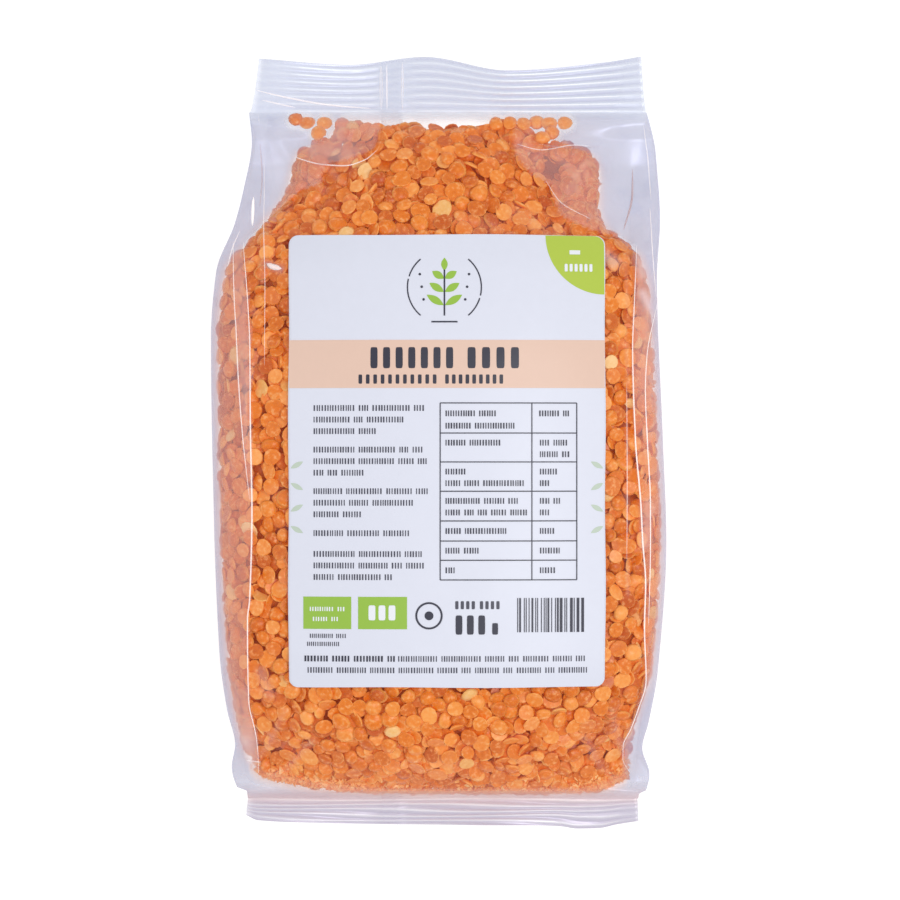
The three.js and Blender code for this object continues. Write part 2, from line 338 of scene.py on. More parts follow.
# %% Node helpers
def add_node(tree, kind, settings=None, **inputs):
    """A node of this kind; settings are its own options, inputs are values or sockets to link from.
    An input is named as on the node, or i and its number where two share a name."""
    node = tree.nodes.new(kind)
    for option, value in (settings or {}).items():
        setattr(node, option, value)
    for name, value in inputs.items():
        by_number = name[0] == "i" and name[1:].isdigit()
        socket = node.inputs[int(name[1:])] if by_number else node.inputs[name]
        if isinstance(value, bpy.types.NodeSocket):
            tree.links.new(value, socket)
        else:
            socket.default_value = value
    return node


def calculate(tree, operation, first, second=0.0, clamp=False):
    """The output of a Math node."""
    settings = {"operation": operation, "use_clamp": clamp}
    return add_node(tree, "ShaderNodeMath", settings, i0=first, i1=second).outputs[0]


def blend_colours(tree, share, first, second):
    """The colour output of a Mix node; the share and the colours may be sockets."""
    node = tree.nodes.new("ShaderNodeMix")
    node.data_type = "RGBA"
    for index, value in ((0, share), (6, first), (7, second)):
        if isinstance(value, bpy.types.NodeSocket):
            tree.links.new(value, node.inputs[index])
        else:
            node.inputs[index].default_value = value
    return node.outputs[2]


def srgb(red, green, blue):
    """A colour given as 0 to 255 screen values, as the linear values that shaders work in."""
    screen = np.array([red, green, blue]) / 255
    linear = np.where(screen <= 0.04045, screen / 12.92, ((screen + 0.055) / 1.055) ** 2.4)
    return (*[float(value) for value in linear], 1.0)


def new_material(name, **sockets):
    """A material and its Principled shader, with constant values set on the shader's own sockets."""
    material = bpy.data.materials.new(name)
    material.use_nodes = True
    shader = material.node_tree.nodes["Principled BSDF"]
    for socket, value in sockets.items():
        shader.inputs[socket.replace("_", " ")].default_value = value
    return material, material.node_tree, shader


def read_value(tree, name):
    """The point attribute of that name, as a value."""
    return add_node(tree, "ShaderNodeAttribute", {"attribute_name": name}).outputs["Fac"]


def object_place(tree):
    """Object coordinates, in metres."""
    return add_node(tree, "ShaderNodeTexCoord").outputs["Object"]


def spread(tree, value, start, end, most=1.0):
    """A Map Range node's value: 0 where the given value is start, and most where it is end."""
    node = add_node(tree, "ShaderNodeMapRange", Value=value)
    node.inputs["From Min"].default_value = start
    node.inputs["From Max"].default_value = end
    node.inputs["To Max"].default_value = most
    return node.outputs[0]


# %% Shared effects as node groups
def new_group(name, inputs, outputs):
    """An empty shader node group: a vector input named Place, and values in and out."""
    tree = bpy.data.node_groups.new(name, "ShaderNodeTree")
    tree.interface.new_socket("Place", in_out="INPUT", socket_type="NodeSocketVector")
    for socket, default in inputs.items():
        made = tree.interface.new_socket(socket, in_out="INPUT", socket_type="NodeSocketFloat")
        made.default_value = default
    for socket in outputs:
        tree.interface.new_socket(socket, in_out="OUTPUT", socket_type="NodeSocketFloat")
    return tree, tree.nodes.new("NodeGroupInput"), tree.nodes.new("NodeGroupOutput")


def build_fine_grain():
    """Fine Grain: noise from 0 to 1 around a half, pulled in by Strength. Tone is for colour and
    roughness, Height for a bump."""
    tree, given, put_out = new_group("Fine Grain", {"Scale": 900.0, "Strength": 0.5}, ["Tone", "Height"])
    place, scale, strength = [given.outputs[name] for name in ("Place", "Scale", "Strength")]
    noise = add_node(tree, "ShaderNodeTexNoise", Vector=place, Scale=scale, Detail=3.0).outputs[0]
    pulled = calculate(tree, "MULTIPLY", calculate(tree, "SUBTRACT", noise, 0.5), strength)
    tree.links.new(calculate(tree, "ADD", pulled, 0.5), put_out.inputs["Tone"])
    tree.links.new(calculate(tree, "MULTIPLY", noise, strength), put_out.inputs["Height"])
    return tree


FOLD_SCALE = 38.0
FOLD_DISTORTION = 1.4
PATCH_SCALE = 120.0
PATCH_RANGE = (0.58, 0.70)


def build_film_crinkle():
    """Film Crinkle: Print is the soft print of the lentils under the film, Folds are long shallow
    folds, and Patch is 1 where the film clouds a little."""
    inputs = {"Size": 230.0, "Depth": 0.5}
    tree, given, put_out = new_group("Film Crinkle", inputs, ["Print", "Folds", "Patch"])
    place, size, depth = [given.outputs[name] for name in ("Place", "Size", "Depth")]
    cells = add_node(tree, "ShaderNodeTexVoronoi", Vector=place, Scale=size)
    folds = add_node(tree, "ShaderNodeTexNoise", Vector=place, Scale=FOLD_SCALE, Distortion=FOLD_DISTORTION)
    spots = add_node(tree, "ShaderNodeTexNoise", Vector=place, Scale=PATCH_SCALE, Detail=2.0)
    tree.links.new(calculate(tree, "MULTIPLY", folds.outputs[0], depth), put_out.inputs["Folds"])
    tree.links.new(calculate(tree, "SUBTRACT", 1.0, cells.outputs["Distance"]), put_out.inputs["Print"])
    tree.links.new(spread(tree, spots.outputs[0], *PATCH_RANGE), put_out.inputs["Patch"])
    return tree


FINE_GRAIN = build_fine_grain()
FILM_CRINKLE = build_film_crinkle()


def use_group(tree, group, place, **values):
    """Places a node group in a material, with its own values."""
    node = tree.nodes.new("ShaderNodeGroup")
    node.node_tree = group
    tree.links.new(place, node.inputs["Place"])
    for name, value in values.items():
        node.inputs[name].default_value = value
    return node


def bump(tree, shader, height, distance, strength=1.0):
    """Feeds a height, in metres once multiplied by distance, to the shader's normal."""
    node = add_node(tree, "ShaderNodeBump", Height=height, Distance=distance, Strength=strength)
    tree.links.new(node.outputs[0], shader.inputs["Normal"])


# %% [markdown]
# ### Film
# Clear film is seen by what it adds: a faint lavender veil, a white sheen where it turns away from
# the eye, and crisp glints on its folds. One Principled shader does all three. Four values painted
# on the mesh steer it: haze is how much the film covers whatever the angle, as where layers lie
# double; sheen is how much more it covers at a grazing angle; grey turns its white into the dull
# lavender of film with nothing behind it, and warm into the pink of film lit by the lentils. A share
# of Metallic makes the little film there is reflect as strongly as its two faces do.


# %% Film material
CLEAR_FILM = 0.008
CLOUDING = 0.22
FILM_ROUGHNESS = 0.3
GRAZING_BLEND = 0.35
GRAZING_POWER = 1.6
BUMP_STRENGTH = 0.5
FILM_WHITE = srgb(228, 237, 252)
FILM_GREY = srgb(180, 185, 219)
FILM_WARM = srgb(246, 190, 172)


def make_film(name, crinkle_depth, white=FILM_WHITE, highlight_glow=0.0):
    """Film whose alpha is clear + haze + sheen * (grazing + clouds). Its bump is the lentils' print,
    which fades where the film is empty, and its folds. A glow of its own colour may be added, a
    painted highlight."""
    sockets = {"Roughness": FILM_ROUGHNESS, "Metallic": 0.2, "IOR": 1.5, "Emission_Strength": highlight_glow}
    material, tree, shader = new_material(name, **sockets)
    crinkle = use_group(tree, FILM_CRINKLE, object_place(tree), Size=230.0, Depth=0.7)
    empty = read_value(tree, "grey")
    facing = add_node(tree, "ShaderNodeLayerWeight", Blend=GRAZING_BLEND).outputs["Facing"]
    grazing = calculate(tree, "POWER", facing, GRAZING_POWER)
    clouds = calculate(tree, "MULTIPLY", crinkle.outputs["Patch"], CLOUDING)
    turned = calculate(tree, "ADD", grazing, clouds)
    sheen = calculate(tree, "MULTIPLY", turned, read_value(tree, "sheen"))
    veil = calculate(tree, "ADD", sheen, CLEAR_FILM)
    alpha = calculate(tree, "ADD", veil, read_value(tree, "haze"), clamp=True)
    tree.links.new(alpha, shader.inputs["Alpha"])
    cool = blend_colours(tree, empty, white, FILM_GREY)
    warmed = blend_colours(tree, read_value(tree, "warm"), cool, FILM_WARM)
    tree.links.new(warmed, shader.inputs["Base Color"])
    filled = calculate(tree, "SUBTRACT", 1.0, empty)
    printed = calculate(tree, "MULTIPLY", crinkle.outputs["Print"], filled)
    relief = calculate(tree, "ADD", printed, crinkle.outputs["Folds"])
    bump(tree, shader, relief, crinkle_depth, BUMP_STRENGTH)
    return material


film = make_film("packing film", 0.0003)
# Creased film is whiter and glows a little: a painted highlight along its creases
creased_film = make_film("creased film", 0.00003, white=srgb(255, 246, 244), highlight_glow=0.3)


# %% [markdown]
# ### Lentils
# Split red lentils are dry and waxy: salmon orange and a little translucent. The rim round the flat
# face, where the two halves parted, is paler: partly its own paler edge, partly a painted highlight
# where the rim catches the light. No two have quite the same tone, so each carries one number, its
# tone, and the material turns that into a colour. A few are pale and yellowish. Light that has
# soaked through its neighbours is stood for by a faint painted glow of its own colour.


# %% Lentil materials
GLOW = 0.10
# The pale rim is partly the lentil's own paler edge and partly a painted highlight where it catches the light
RIM_PALENESS = 0.65
RIM_COLOUR = srgb(255, 188, 100)
DUST_COLOUR = srgb(250, 192, 132)
DUST_RANGE = (0.54, 0.66)
DUST_MOST = 0.45


def make_lentil(name, dark, middle, light):
    """Waxy lentil: tone picks the colour from a ramp, grain mottles it, flour dusts it in patches, and
    rim makes it paler, partly its own paler edge and partly a painted highlight where it catches light."""
    material, tree, shader = new_material(name, Roughness=0.36, IOR=1.45, Emission_Strength=GLOW)
    place = object_place(tree)
    grain = use_group(tree, FINE_GRAIN, place, Scale=1000.0, Strength=0.8)
    dust = spread(tree, grain.outputs["Tone"], *DUST_RANGE, DUST_MOST)
    mottle = calculate(tree, "SUBTRACT", grain.outputs["Tone"], 0.5)
    tone = calculate(tree, "ADD", read_value(tree, "tone"), mottle)
    ramp = add_node(tree, "ShaderNodeValToRGB", Fac=tone)
    ramp.color_ramp.elements[0].color = dark
    ramp.color_ramp.elements[1].color = light
    ramp.color_ramp.elements.new(0.5).color = middle
    rim = calculate(tree, "MULTIPLY", read_value(tree, "rim"), RIM_PALENESS)
    dusted = blend_colours(tree, dust, ramp.outputs[0], DUST_COLOUR)
    paler = blend_colours(tree, rim, dusted, RIM_COLOUR)
    tree.links.new(paler, shader.inputs["Base Color"])
    tree.links.new(paler, shader.inputs["Emission Color"])
    bump(tree, shader, grain.outputs["Height"], 0.0001, BUMP_STRENGTH)
    return material


lentil = make_lentil("split lentil", srgb(196, 84, 2), srgb(231, 120, 14), srgb(248, 162, 78))
pale_lentil = make_lentil("pale lentil", srgb(230, 150, 70), srgb(240, 180, 104), srgb(250, 210, 150))
chip = make_lentil("lentil chip", srgb(226, 128, 44), srgb(242, 164, 84), srgb(252, 204, 138))


# %% Core material
# The core's colours are painted shade, that of lentils deep in the heap, and its glow is painted light
CORE_GLOW = 0.20
CORE_DOME_SCALE = 250.0
CORE_DOME_EDGE = 0.6
CORE_SHADED_COLOUR = srgb(204, 96, 8)
CORE_GAP_SHADE = srgb(156, 64, 4)


def make_core():
    """The depth between lentils, in painted shade: dark orange domes, darker painted gaps, a faint glow."""
    sockets = {"Roughness": 0.7, "Emission_Strength": CORE_GLOW}
    material, tree, shader = new_material("lentils in painted shade", **sockets)
    cells = add_node(tree, "ShaderNodeTexVoronoi", Vector=object_place(tree), Scale=CORE_DOME_SCALE)
    away = cells.outputs["Distance"]
    colour = blend_colours(tree, spread(tree, away, 0.0, CORE_DOME_EDGE), CORE_SHADED_COLOUR, CORE_GAP_SHADE)
    tree.links.new(colour, shader.inputs["Base Color"])
    tree.links.new(colour, shader.inputs["Emission Color"])
    bump(tree, shader, calculate(tree, "SUBTRACT", 1.0, away), 0.0015)
    return material


core_material = make_core()


# %% [markdown]
# ### Paper and ink
# The label is coated paper: cool white, nearly smooth, with a soft sheen. The inks lie on it as thin
# fields of colour, so they share its grain and its sheen.


# %% Paper and ink materials
PAPER_ROUGHNESS = 0.42
MOTTLE_DARKNESS = 0.94


def make_printed(name, colour):
    """Coated paper or ink on it: one colour with a faint mottle, and the grain of the coating."""
    material, tree, shader = new_material(name, Roughness=PAPER_ROUGHNESS, IOR=1.45)
    grain = use_group(tree, FINE_GRAIN, object_place(tree), Scale=420.0, Strength=0.5)
    darker = (*[MOTTLE_DARKNESS * part for part in colour[:3]], 1.0)
    mottled = blend_colours(tree, grain.outputs["Tone"], colour, darker)
    tree.links.new(mottled, shader.inputs["Base Color"])
    bump(tree, shader, grain.outputs["Height"], 0.00005, BUMP_STRENGTH)
    return material


paper = make_printed("label paper", srgb(231, 233, 245))
INKS = {
    "peach": make_printed("peach ink", srgb(238, 203, 183)),
    "green": make_printed("green ink", srgb(187, 209, 78)),
    "leaf_green": make_printed("leaf green ink", srgb(157, 198, 72)),
    "pale_green": make_printed("pale green ink", srgb(200, 214, 196)),
    "dark": make_printed("dark ink", srgb(52, 52, 68)),
    "grey": make_printed("grey ink", srgb(76, 76, 90)),
    "white": make_printed("white ink", srgb(244, 246, 250)),
}
print("materials:", sorted(m.name for m in bpy.data.materials))

# %% [markdown]
# ## The film skin
# Bottom weld, filled body and top weld are one skin, as on the real bag. Each row of the grid is one
# ring round the bag. In a weld the ring lies flat, and crimping jaws have pressed ribs across it
# that follow its wavy free edge. Haze is painted on as a point value: much in the welds, some on
# sharp folds, none over the middle of a panel.

# %% Sizes of the welds and of the film's folds
TOP_SEAL = {
    "start": BODY_TOP,
    "height": TOP_SEAL_HEIGHT,
    "edge": [[-47.6, 101.7], [-24, 100.2], [-4, 102.3], [18, 98.6], [44, 100.9], [53.7, 102.4]],
    "corners": [FILM_SHAPE["left_crease"][-1][1], FILM_SHAPE["right_crease"][-1][1]],
    "ribs": 7,
    "drift": 0.0,
    "haze": 0.42,
    "grey": 0.52,
    "warmth": 0.0,
    "sharpness": [4.0, 1.5],
    "share": [
        [-50, 0.1], [-42, 0.2], [-36, 0.55], [-18, 0.6], [-15, 0.15], [-9, 0.15], [-5, 0.5], [10, 0.5],
        [22, 1.0], [44, 1.0], [50, 0.5], [55, 0.3],
    ],
    "rows": 78,
}
BOTTOM_SEAL = {
    "start": BODY_BOTTOM,
    "height": BOTTOM_SEAL_HEIGHT,
    "edge": [
        [-50.9, -98.7], [-48, -100.0], [-36.8, -100.6], [-10, -101.3], [24, -101.4], [32, -101.7],
        [37, -102.4], [42.5, -102.3], [47.3, -101.3], [52.9, -100.4],
    ],
    "corners": [FILM_SHAPE["left_crease"][0][1], FILM_SHAPE["right_crease"][0][1]],
    "ribs": 5,
    "drift": 0.22,
    "haze": 0.55,
    "grey": 0.75,
    "warmth": 0.4,
    "sharpness": [2.0, 6.0],
    "share": [[-50, 0.3], [-44, 0.6], [10, 0.75], [46, 0.65], [49, 0.3], [54, 0.2]],
    "rows": 46,
}
RIB_DEPTH = 0.34
RIB_END_POWER = 0.3
DRIFT_WAVES = 1.3
DRIFT_LENGTH = 70
# A rib's crest gets a painted highlight and the valley beside it painted shade
CREST_HIGHLIGHT_CLEAR = 0.55
VALLEY_SHADE_GREY = 0.6
WELD_SIDE_HAZE = 0.2
WELD_WARMTH = {"all over": 0.5, "by the body": 0.7}
WELD_WARM_REACH = 0.25
WELD_CORNER_POWER = 0.6
WELD_THICKNESS = 0.3
THIN_END = 2
SEAL_CURL = 1.6
SEAL_CURL_LENGTH = 58
SEAL_LIP = 0.15
FIN_PLACE = [-15.2, -9.6]
FIN_STEP = 0.2
FIN_EDGE = 0.25
FIN_FLATTENS = 0.6
FILM_BACK_LIFT = 0.3
LIFT_FADE = 3
FOLD_END_POWER = 0.25
PANEL_COLUMNS = {"front": 116, "gusset": 40, "back": 64}
BODY_ROWS = 232

# Raised folds of the front film: [[x, y] path], width, height
FILM_FOLDS = [
    ([[-48, 92], [-40, 89], [-29, 84]], 1.1, 0.7),
    ([[-47, 84], [-45, 70], [-45, 56], [-46, 42]], 0.8, 0.6),
    ([[-49, 79], [-46, 68], [-43.5, 58]], 1.0, 0.5),
    ([[-44, 83], [-38, 73], [-30, 66]], 1.4, 0.6),
    ([[-36, 84], [-33, 76], [-25, 68]], 1.2, 0.4),
    ([[51.5, 72], [51, 66], [48.7, 56]], 1.0, -0.6),
    ([[36.4, 79.5], [44, 79]], 1.0, 0.15),
    ([[49.2, 50], [49.2, 15], [49.4, -40]], 0.6, 0.35),
    ([[46, 84], [40, 76], [36, 70]], 1.5, 0.3),
    ([[28, 85], [31, 76], [37, 68]], 1.2, 0.45),
    ([[-48, -90], [-40, -86], [-33, -78]], 1.4, 0.6),
    ([[-50, -86], [-45, -80], [-40, -70]], 1.2, 0.5),
    ([[50, -91], [43, -86], [38, -77]], 1.4, 0.6),
    ([[52, -87], [48, -80], [45, -70]], 1.2, 0.5),
]
# Painted glints where the stretched film shines, and patches where it clouds: [[x, y] path], width, haze
FILM_GLINTS = [
    ([[-44.8, 46.6], [-41.2, 45.2]], 0.9, 0.25),
    ([[-37, 80], [-30, 77], [-24, 76]], 3.0, 0.2),
    ([[-33, 86], [-27, 82]], 3.0, 0.18),
    ([[53.5, 39], [55.5, 35.5]], 1.2, 0.5),
    ([[52.5, 48], [53.5, 44]], 1.3, 0.3),
    ([[54.5, -16], [54.2, -27]], 1.4, 0.25),
    ([[27, 76], [36, 73], [43, 72]], 3.0, 0.06),
    ([[42, 50], [46, 47]], 1.6, 0.25),
    ([[-51, -79], [-49.5, -85]], 1.6, 0.25),
    ([[20, 60], [30, 54]], 2.6, 0.05),
    ([[6, 58], [16, 55.5]], 2.2, 0.05),
    ([[-46.5, -60], [-44, -66]], 1.5, 0.12),
]


def fold_profile(x, y, path, width):
    """1 on the line of a fold and falling like a bell with distance from it, over width."""
    nearest = np.full(np.shape(x), np.inf)
    for (x0, y0), (x1, y1) in zip(path[:-1], path[1:]):
        run = (x1 - x0) ** 2 + (y1 - y0) ** 2
        along = np.clip(((x - x0) * (x1 - x0) + (y - y0) * (y1 - y0)) / run, 0, 1)
        away = np.hypot(x - mix(x0, x1, along), y - mix(y0, y1, along))
        nearest = np.minimum(nearest, away)
    return np.exp(-((nearest / width) ** 2))


# %% Rings round the bag
def ring_places():
    """The around values of one ring: each panel keeps both its creases."""
    front = np.linspace(0, 1, PANEL_COLUMNS["front"] + 1)[:-1]
    right = 1 + np.linspace(0, 1, PANEL_COLUMNS["gusset"] + 1)[:-1]
    back = 2 + np.linspace(0, 1, PANEL_COLUMNS["back"] + 1)[:-1]
    left = 3 + np.linspace(0, 1, PANEL_COLUMNS["gusset"] + 1)[:-1]
    return np.concatenate([front, right, back, left])


def rib_wave(seal, x, out):
    """The jaws' ribs as a sine across the weld, whose spacing drifts a little where the film slipped."""
    slip = seal["drift"] * np.sin(2 * np.pi * (DRIFT_WAVES * out + x / DRIFT_LENGTH))
    return np.sin(2 * np.pi * (seal["ribs"] * out + slip))


def weld_height(seal, x, out):
    """Height of the middle of a weld: its own height, a curl that grows towards the free edge, the
    jaws' ribs as a sine across it, and a step where the back fin is caught in it."""
    curl = SEAL_CURL * out * np.sin(2 * np.pi * x / SEAL_CURL_LENGTH)
    inside = np.sin(np.pi * np.clip(out, 0, 1)) ** RIB_END_POWER
    depth = RIB_DEPTH / 2 * follow(seal["share"], x) * inside
    onto_fin, off_fin = [ease(x, place - FIN_EDGE, place + FIN_EDGE) for place in FIN_PLACE]
    over_fin = onto_fin - off_fin
    rib = depth * rib_wave(seal, x, out) * (1 - FIN_FLATTENS * over_fin)
    return seal["height"] + curl + rib + FIN_STEP * over_fin


def paint_weld(seal, out, x, around):
    """haze, grey, sheen and warmth of a weld: a rib's crest is painted as a highlight, a clear bright
    streak, and the valley beside it as shade, duller film, both by the rib's share of its full depth.
    The lentils' light warms the weld most where it meets the body."""
    share = follow(seal["share"], x)
    crest_power, valley_power = seal["sharpness"]
    wave = rib_wave(seal, x, out)
    # crest is the painted highlight along each rib's crest
    crest = share * np.maximum(wave, 0) ** crest_power
    valley_shade = share * np.maximum(-wave, 0) ** valley_power
    on_face = np.floor(around) % 2 == 0
    haze = seal["haze"] * (1 - CREST_HIGHLIGHT_CLEAR * crest)
    grey = seal["grey"] * (1 - crest) + VALLEY_SHADE_GREY * valley_shade
    by_body = np.exp(-((out / WELD_WARM_REACH) ** 2))
    warm = seal["warmth"] * (WELD_WARMTH["all over"] + WELD_WARMTH["by the body"] * by_body) + 0 * haze
    return haze * np.where(on_face, 1.0, WELD_SIDE_HAZE), grey.clip(0, 1), 0 * haze, warm


def weld_rows(seal, out, around):
    """Rows of a weld. out runs from 0 at the body to 1 at the free edge."""
    panel = np.floor(around).astype(int)
    share = around - panel
    across = np.choose(panel, [share, 1 + 0 * share, 1 - share, 0 * share])
    through = np.choose(panel, [1 + 0 * share, 1 - 2 * share, -1 + 0 * share, 2 * share - 1])
    lip = np.choose(panel, [0, SEAL_LIP, 0, -SEAL_LIP]) * np.sin(np.pi * share)
    edge = seal["edge"]
    outwards = out**WELD_CORNER_POWER
    left = mix(seal["corners"][0], edge[0][0], outwards)
    right = mix(seal["corners"][1], edge[-1][0], outwards)
    x = mix(left, right, across)
    y = mix(seal["start"], follow(edge, x), out)
    z = weld_height(seal, x, out) + through * WELD_THICKNESS / 2
    return np.stack([x + lip, y, z], axis=-1)


def thin_ends(x, y, z):
    """Heights drawn together to the thickness of a weld over the body's last millimetres."""
    middle = np.where(y > 0, weld_height(TOP_SEAL, x, 0), weld_height(BOTTOM_SEAL, x, 0))
    to_end = np.minimum(BODY_TOP - y, y - BODY_BOTTOM)
    return middle + (z - middle) * mix(WELD_THICKNESS / SEAL_THICKNESS, 1, np.clip(to_end / THIN_END, 0, 1))


def off_floor(z):
    """How far the film lies above the solid's back: a set lift where the back is on the floor, less
    where it rises, and nothing above the height where the lift has faded."""
    return FILM_BACK_LIFT * np.clip(1 - z / LIFT_FADE, 0, 1)


def film_body(y, around):
    """The filled part: the ring surface, its folds raised on the front, its back lifted off the
    fin, and its ends drawn together to the thickness of a weld."""
    points = ring_surface(FILM_SHAPE, around, y)
    x = points[..., 0]
    on_front = (np.floor(around) == 0) * np.sin(np.pi * np.clip(around, 0, 1)) ** FOLD_END_POWER
    for path, width, height in FILM_FOLDS:
        points[..., 2] += on_front * height * fold_profile(x, y, path, width)
    points[..., 2] += off_floor(points[..., 2])
    points[..., 2] = thin_ends(x, y, points[..., 2])
    return points


# %% [markdown]
# ### How much the film covers
# The film is painted as a set of values on its points. Over the clear window it is nearly gone. The
# gussets cover more, and the right one more than the left, because it lies in more folds. Where
# nothing lies behind it, both of its walls turn a dull lavender, except where it clings to a loose
# lentil. The welds are the same with their ribs on top.

# %% Paint the film
WELD_BLEND = 3.5
EMPTY_HAZE = 0.33
EMPTY_KEEPS = 0.3
EMPTY_EDGE = (-0.3, 1.4)
WINDOW_EDGE = (-0.2, 0.5)
LEFT_GUSSET_HAZE = [[-90, 0.05], [-84, 0.2], [-78, 0.4], [-68, 0.36], [-60, 0.23], [-50, 0.23], [86, 0.23]]
RIGHT_GUSSET_HAZE = [
    [-90, 0.05], [-84, 0.24], [-72, 0.42], [-64, 0.2], [-50, 0.1], [-20, 0.1], [5, 0.16], [14, 0.27],
    [44, 0.27], [52, 0.22], [70, 0.24], [78, 0.18], [86, 0.1],
]
GUSSET_GREY = 0.2
GUSSET_WARMTH = 0.65
EDGE_WARMTH = 0.6
EDGE_WIDTH = 1.8
LEFT_BAND = [[-15, -49.3], [2, -51.2], [19, -52.5], [29, -53.0], [38, -53.6], [53, -54.1]]
BAND_HAZE = 0.12
FOLD_HAZE = 0.07
FOLD_HAZE_WIDTH = 0.6
LOW_HAZE = 0.26
LOW_HAZE_WIDTH = 1.6
LOW_HAZE_REACH = 50
LOW_EDGE_COLOURS = 0.6
CLING_RADIUS = 2.7
CLING = 0.85
FRONT_SHEEN = 0.11
GUSSET_SHEEN = 0.42
BACK_SHEEN = 0.4


def paint_film(points, around):
    """haze, grey, sheen and warmth of the film's body at each point."""
    x, y, _ = np.moveaxis(points, -1, 0)
    panel = np.floor(around).astype(int) + np.zeros(x.shape, int)
    empty = ease(past_heap(x, y), *EMPTY_EDGE)
    outside = ease(past_window(x, y), *WINDOW_EDGE) * (panel != 2)
    gusset_haze = np.where(x < 0, follow(LEFT_GUSSET_HAZE, y), follow(RIGHT_GUSSET_HAZE, y))
    band = (x > follow(LEFT_BAND, y)) * (x < 0) * (y > LEFT_BAND[0][0]) * (y < LEFT_BAND[-1][0]) * outside
    haze = outside * gusset_haze + band * BAND_HAZE
    for path, width, strength in FILM_GLINTS:
        haze = haze + strength * fold_profile(x, y, path, width) * (panel != 2)
    for path, width, _ in FILM_FOLDS:
        haze = haze + FOLD_HAZE * fold_profile(x, y, path, FOLD_HAZE_WIDTH * width) * (panel == 0)
    above_low = y - np.maximum(follow(HEAP_LOW, x), BODY_BOTTOM + 1)
    low_edge = np.exp(-((above_low / LOW_HAZE_WIDTH) ** 2)) * (np.abs(x) < LOW_HAZE_REACH) * (panel == 0)
    haze = np.maximum(haze + LOW_HAZE * low_edge, EMPTY_HAZE * empty + EMPTY_KEEPS * haze)
    by_weld = 1 - ease(np.minimum(BODY_TOP - y, y - BODY_BOTTOM), 0, WELD_BLEND)
    cling = np.zeros(x.shape)
    for stray_x, stray_y, _, _ in STRAYS:
        cling = np.maximum(cling, np.exp(-((np.hypot(x - stray_x, y - stray_y) / CLING_RADIUS) ** 4)))
    painted = ("haze", "grey", "warmth")
    weld = {name: np.where(y > 0, TOP_SEAL[name], BOTTOM_SEAL[name]) for name in painted}
    haze = mix(haze, np.maximum(haze, weld["haze"]), by_weld)
    by_edge = EDGE_WARMTH * outside * np.exp(-((past_heap(x, y) / EDGE_WIDTH) ** 2))
    warm = np.maximum(np.maximum(GUSSET_WARMTH * outside * (1 - empty), by_edge), low_edge)
    warm = mix(warm, sum(WELD_WARMTH.values()) * weld["warmth"], by_weld)
    grey = np.maximum(empty, GUSSET_GREY * outside)
    grey = mix(grey, np.minimum(grey, weld["grey"]), by_weld) * (1 - LOW_EDGE_COLOURS * low_edge)
    front_sheen = mix(FRONT_SHEEN, GUSSET_SHEEN, outside)
    sheen = np.choose(panel, [front_sheen, GUSSET_SHEEN + 0 * x, BACK_SHEEN + 0 * x, GUSSET_SHEEN + 0 * x])
    cling = CLING * cling * (panel == 0)
    return haze * (1 - cling), grey * (1 - cling), sheen * (1 - cling), warm


# %% Build the film
def close_ends(rows, columns):
    """Faces that close the first and last ring with quads between its front and its back."""
    front = np.arange(PANEL_COLUMNS["front"] + 1)
    behind = np.round(front * PANEL_COLUMNS["back"] / PANEL_COLUMNS["front"]).astype(int)
    turned = columns - PANEL_COLUMNS["gusset"] - behind
    quads = np.stack([front[:-1], front[1:], turned[1:], turned[:-1]], axis=-1)
    top = quads + (rows - 1) * columns
    return np.concatenate([quads[:, ::-1], top])


def build_film():
    """Bottom weld, body and top weld as one grid of rings, closed at both free edges."""
    around = ring_places()[None, :]
    step = np.linspace(0, 1, BODY_ROWS)
    eased = mix((1 - np.cos(np.pi * step)) / 2, step, 0.5)
    y = mix(BODY_BOTTOM, BODY_TOP, eased)[:, None]
    bottom_out = np.linspace(1, 0, BOTTOM_SEAL["rows"])[:-1, None]
    top_out = np.linspace(0, 1, TOP_SEAL["rows"])[1:, None]
    bottom = weld_rows(BOTTOM_SEAL, bottom_out, around)
    top = weld_rows(TOP_SEAL, top_out, around)
    body = film_body(y, around)
    below = paint_weld(BOTTOM_SEAL, bottom_out, bottom[..., 0], around)
    above = paint_weld(TOP_SEAL, top_out, top[..., 0], around)
    painted = [np.concatenate(parts) for parts in zip(below, paint_film(body, around), above)]
    points = np.concatenate([bottom, body, top])
    rows, columns = points.shape[:2]
    faces = [grid_faces(rows, columns, closed=True), close_ends(rows, columns)]
    values = dict(zip(("haze", "grey", "sheen", "warm"), painted))
    return new_piece("bag_film", points.reshape(-1, 3), faces, film, values)


bag_film = build_film()

# %% [markdown]
# ### A chart of the heap
# The heap's surface is laid out flat as a chart, around by along, on which every cell knows its
# point, its outward normal and how much the chart stretches there. Lentils by the front film lie
# more nearly face up than the film does, so each cell also knows which way its lentils look.

# %% Lay the heap's surface out as a chart
FILM_CLEARANCE = 0.3
CELL = 0.4
CHART_PANELS = [104.0, 42.0, 104.0, 42.0]
HEAP_ENDS = [-92.2, 84.9]
FINE_STEPS = 4000
FACE_UP = [0.9, 0.45, 0.0, 0.45]
BEND_REACH = 4
SHARPEST_BEND = 0.22


def chart_axes():
    """around for each column, from the panels' nominal widths, and y for each row, at equal steps
    of length along the front's crest."""
    ends = np.concatenate([[0], np.cumsum(CHART_PANELS)])
    around = np.interp(np.arange(0, ends[-1], CELL), ends, np.arange(5))
    fine_y = np.linspace(*HEAP_ENDS, FINE_STEPS)
    crest = follow(HEAP_SHAPE["front"], fine_y)
    length = np.concatenate([[0], np.cumsum(np.hypot(np.diff(fine_y), np.diff(crest)))])
    return around, np.interp(np.arange(0, length[-1], CELL), length, fine_y)


def unit(vectors):
    """Vectors scaled to length 1."""
    return vectors / np.maximum(np.linalg.norm(vectors, axis=-1, keepdims=True), 1e-9)


def dot(first, second):
    """The dot product of two arrays of vectors."""
    return (first * second).sum(axis=-1)


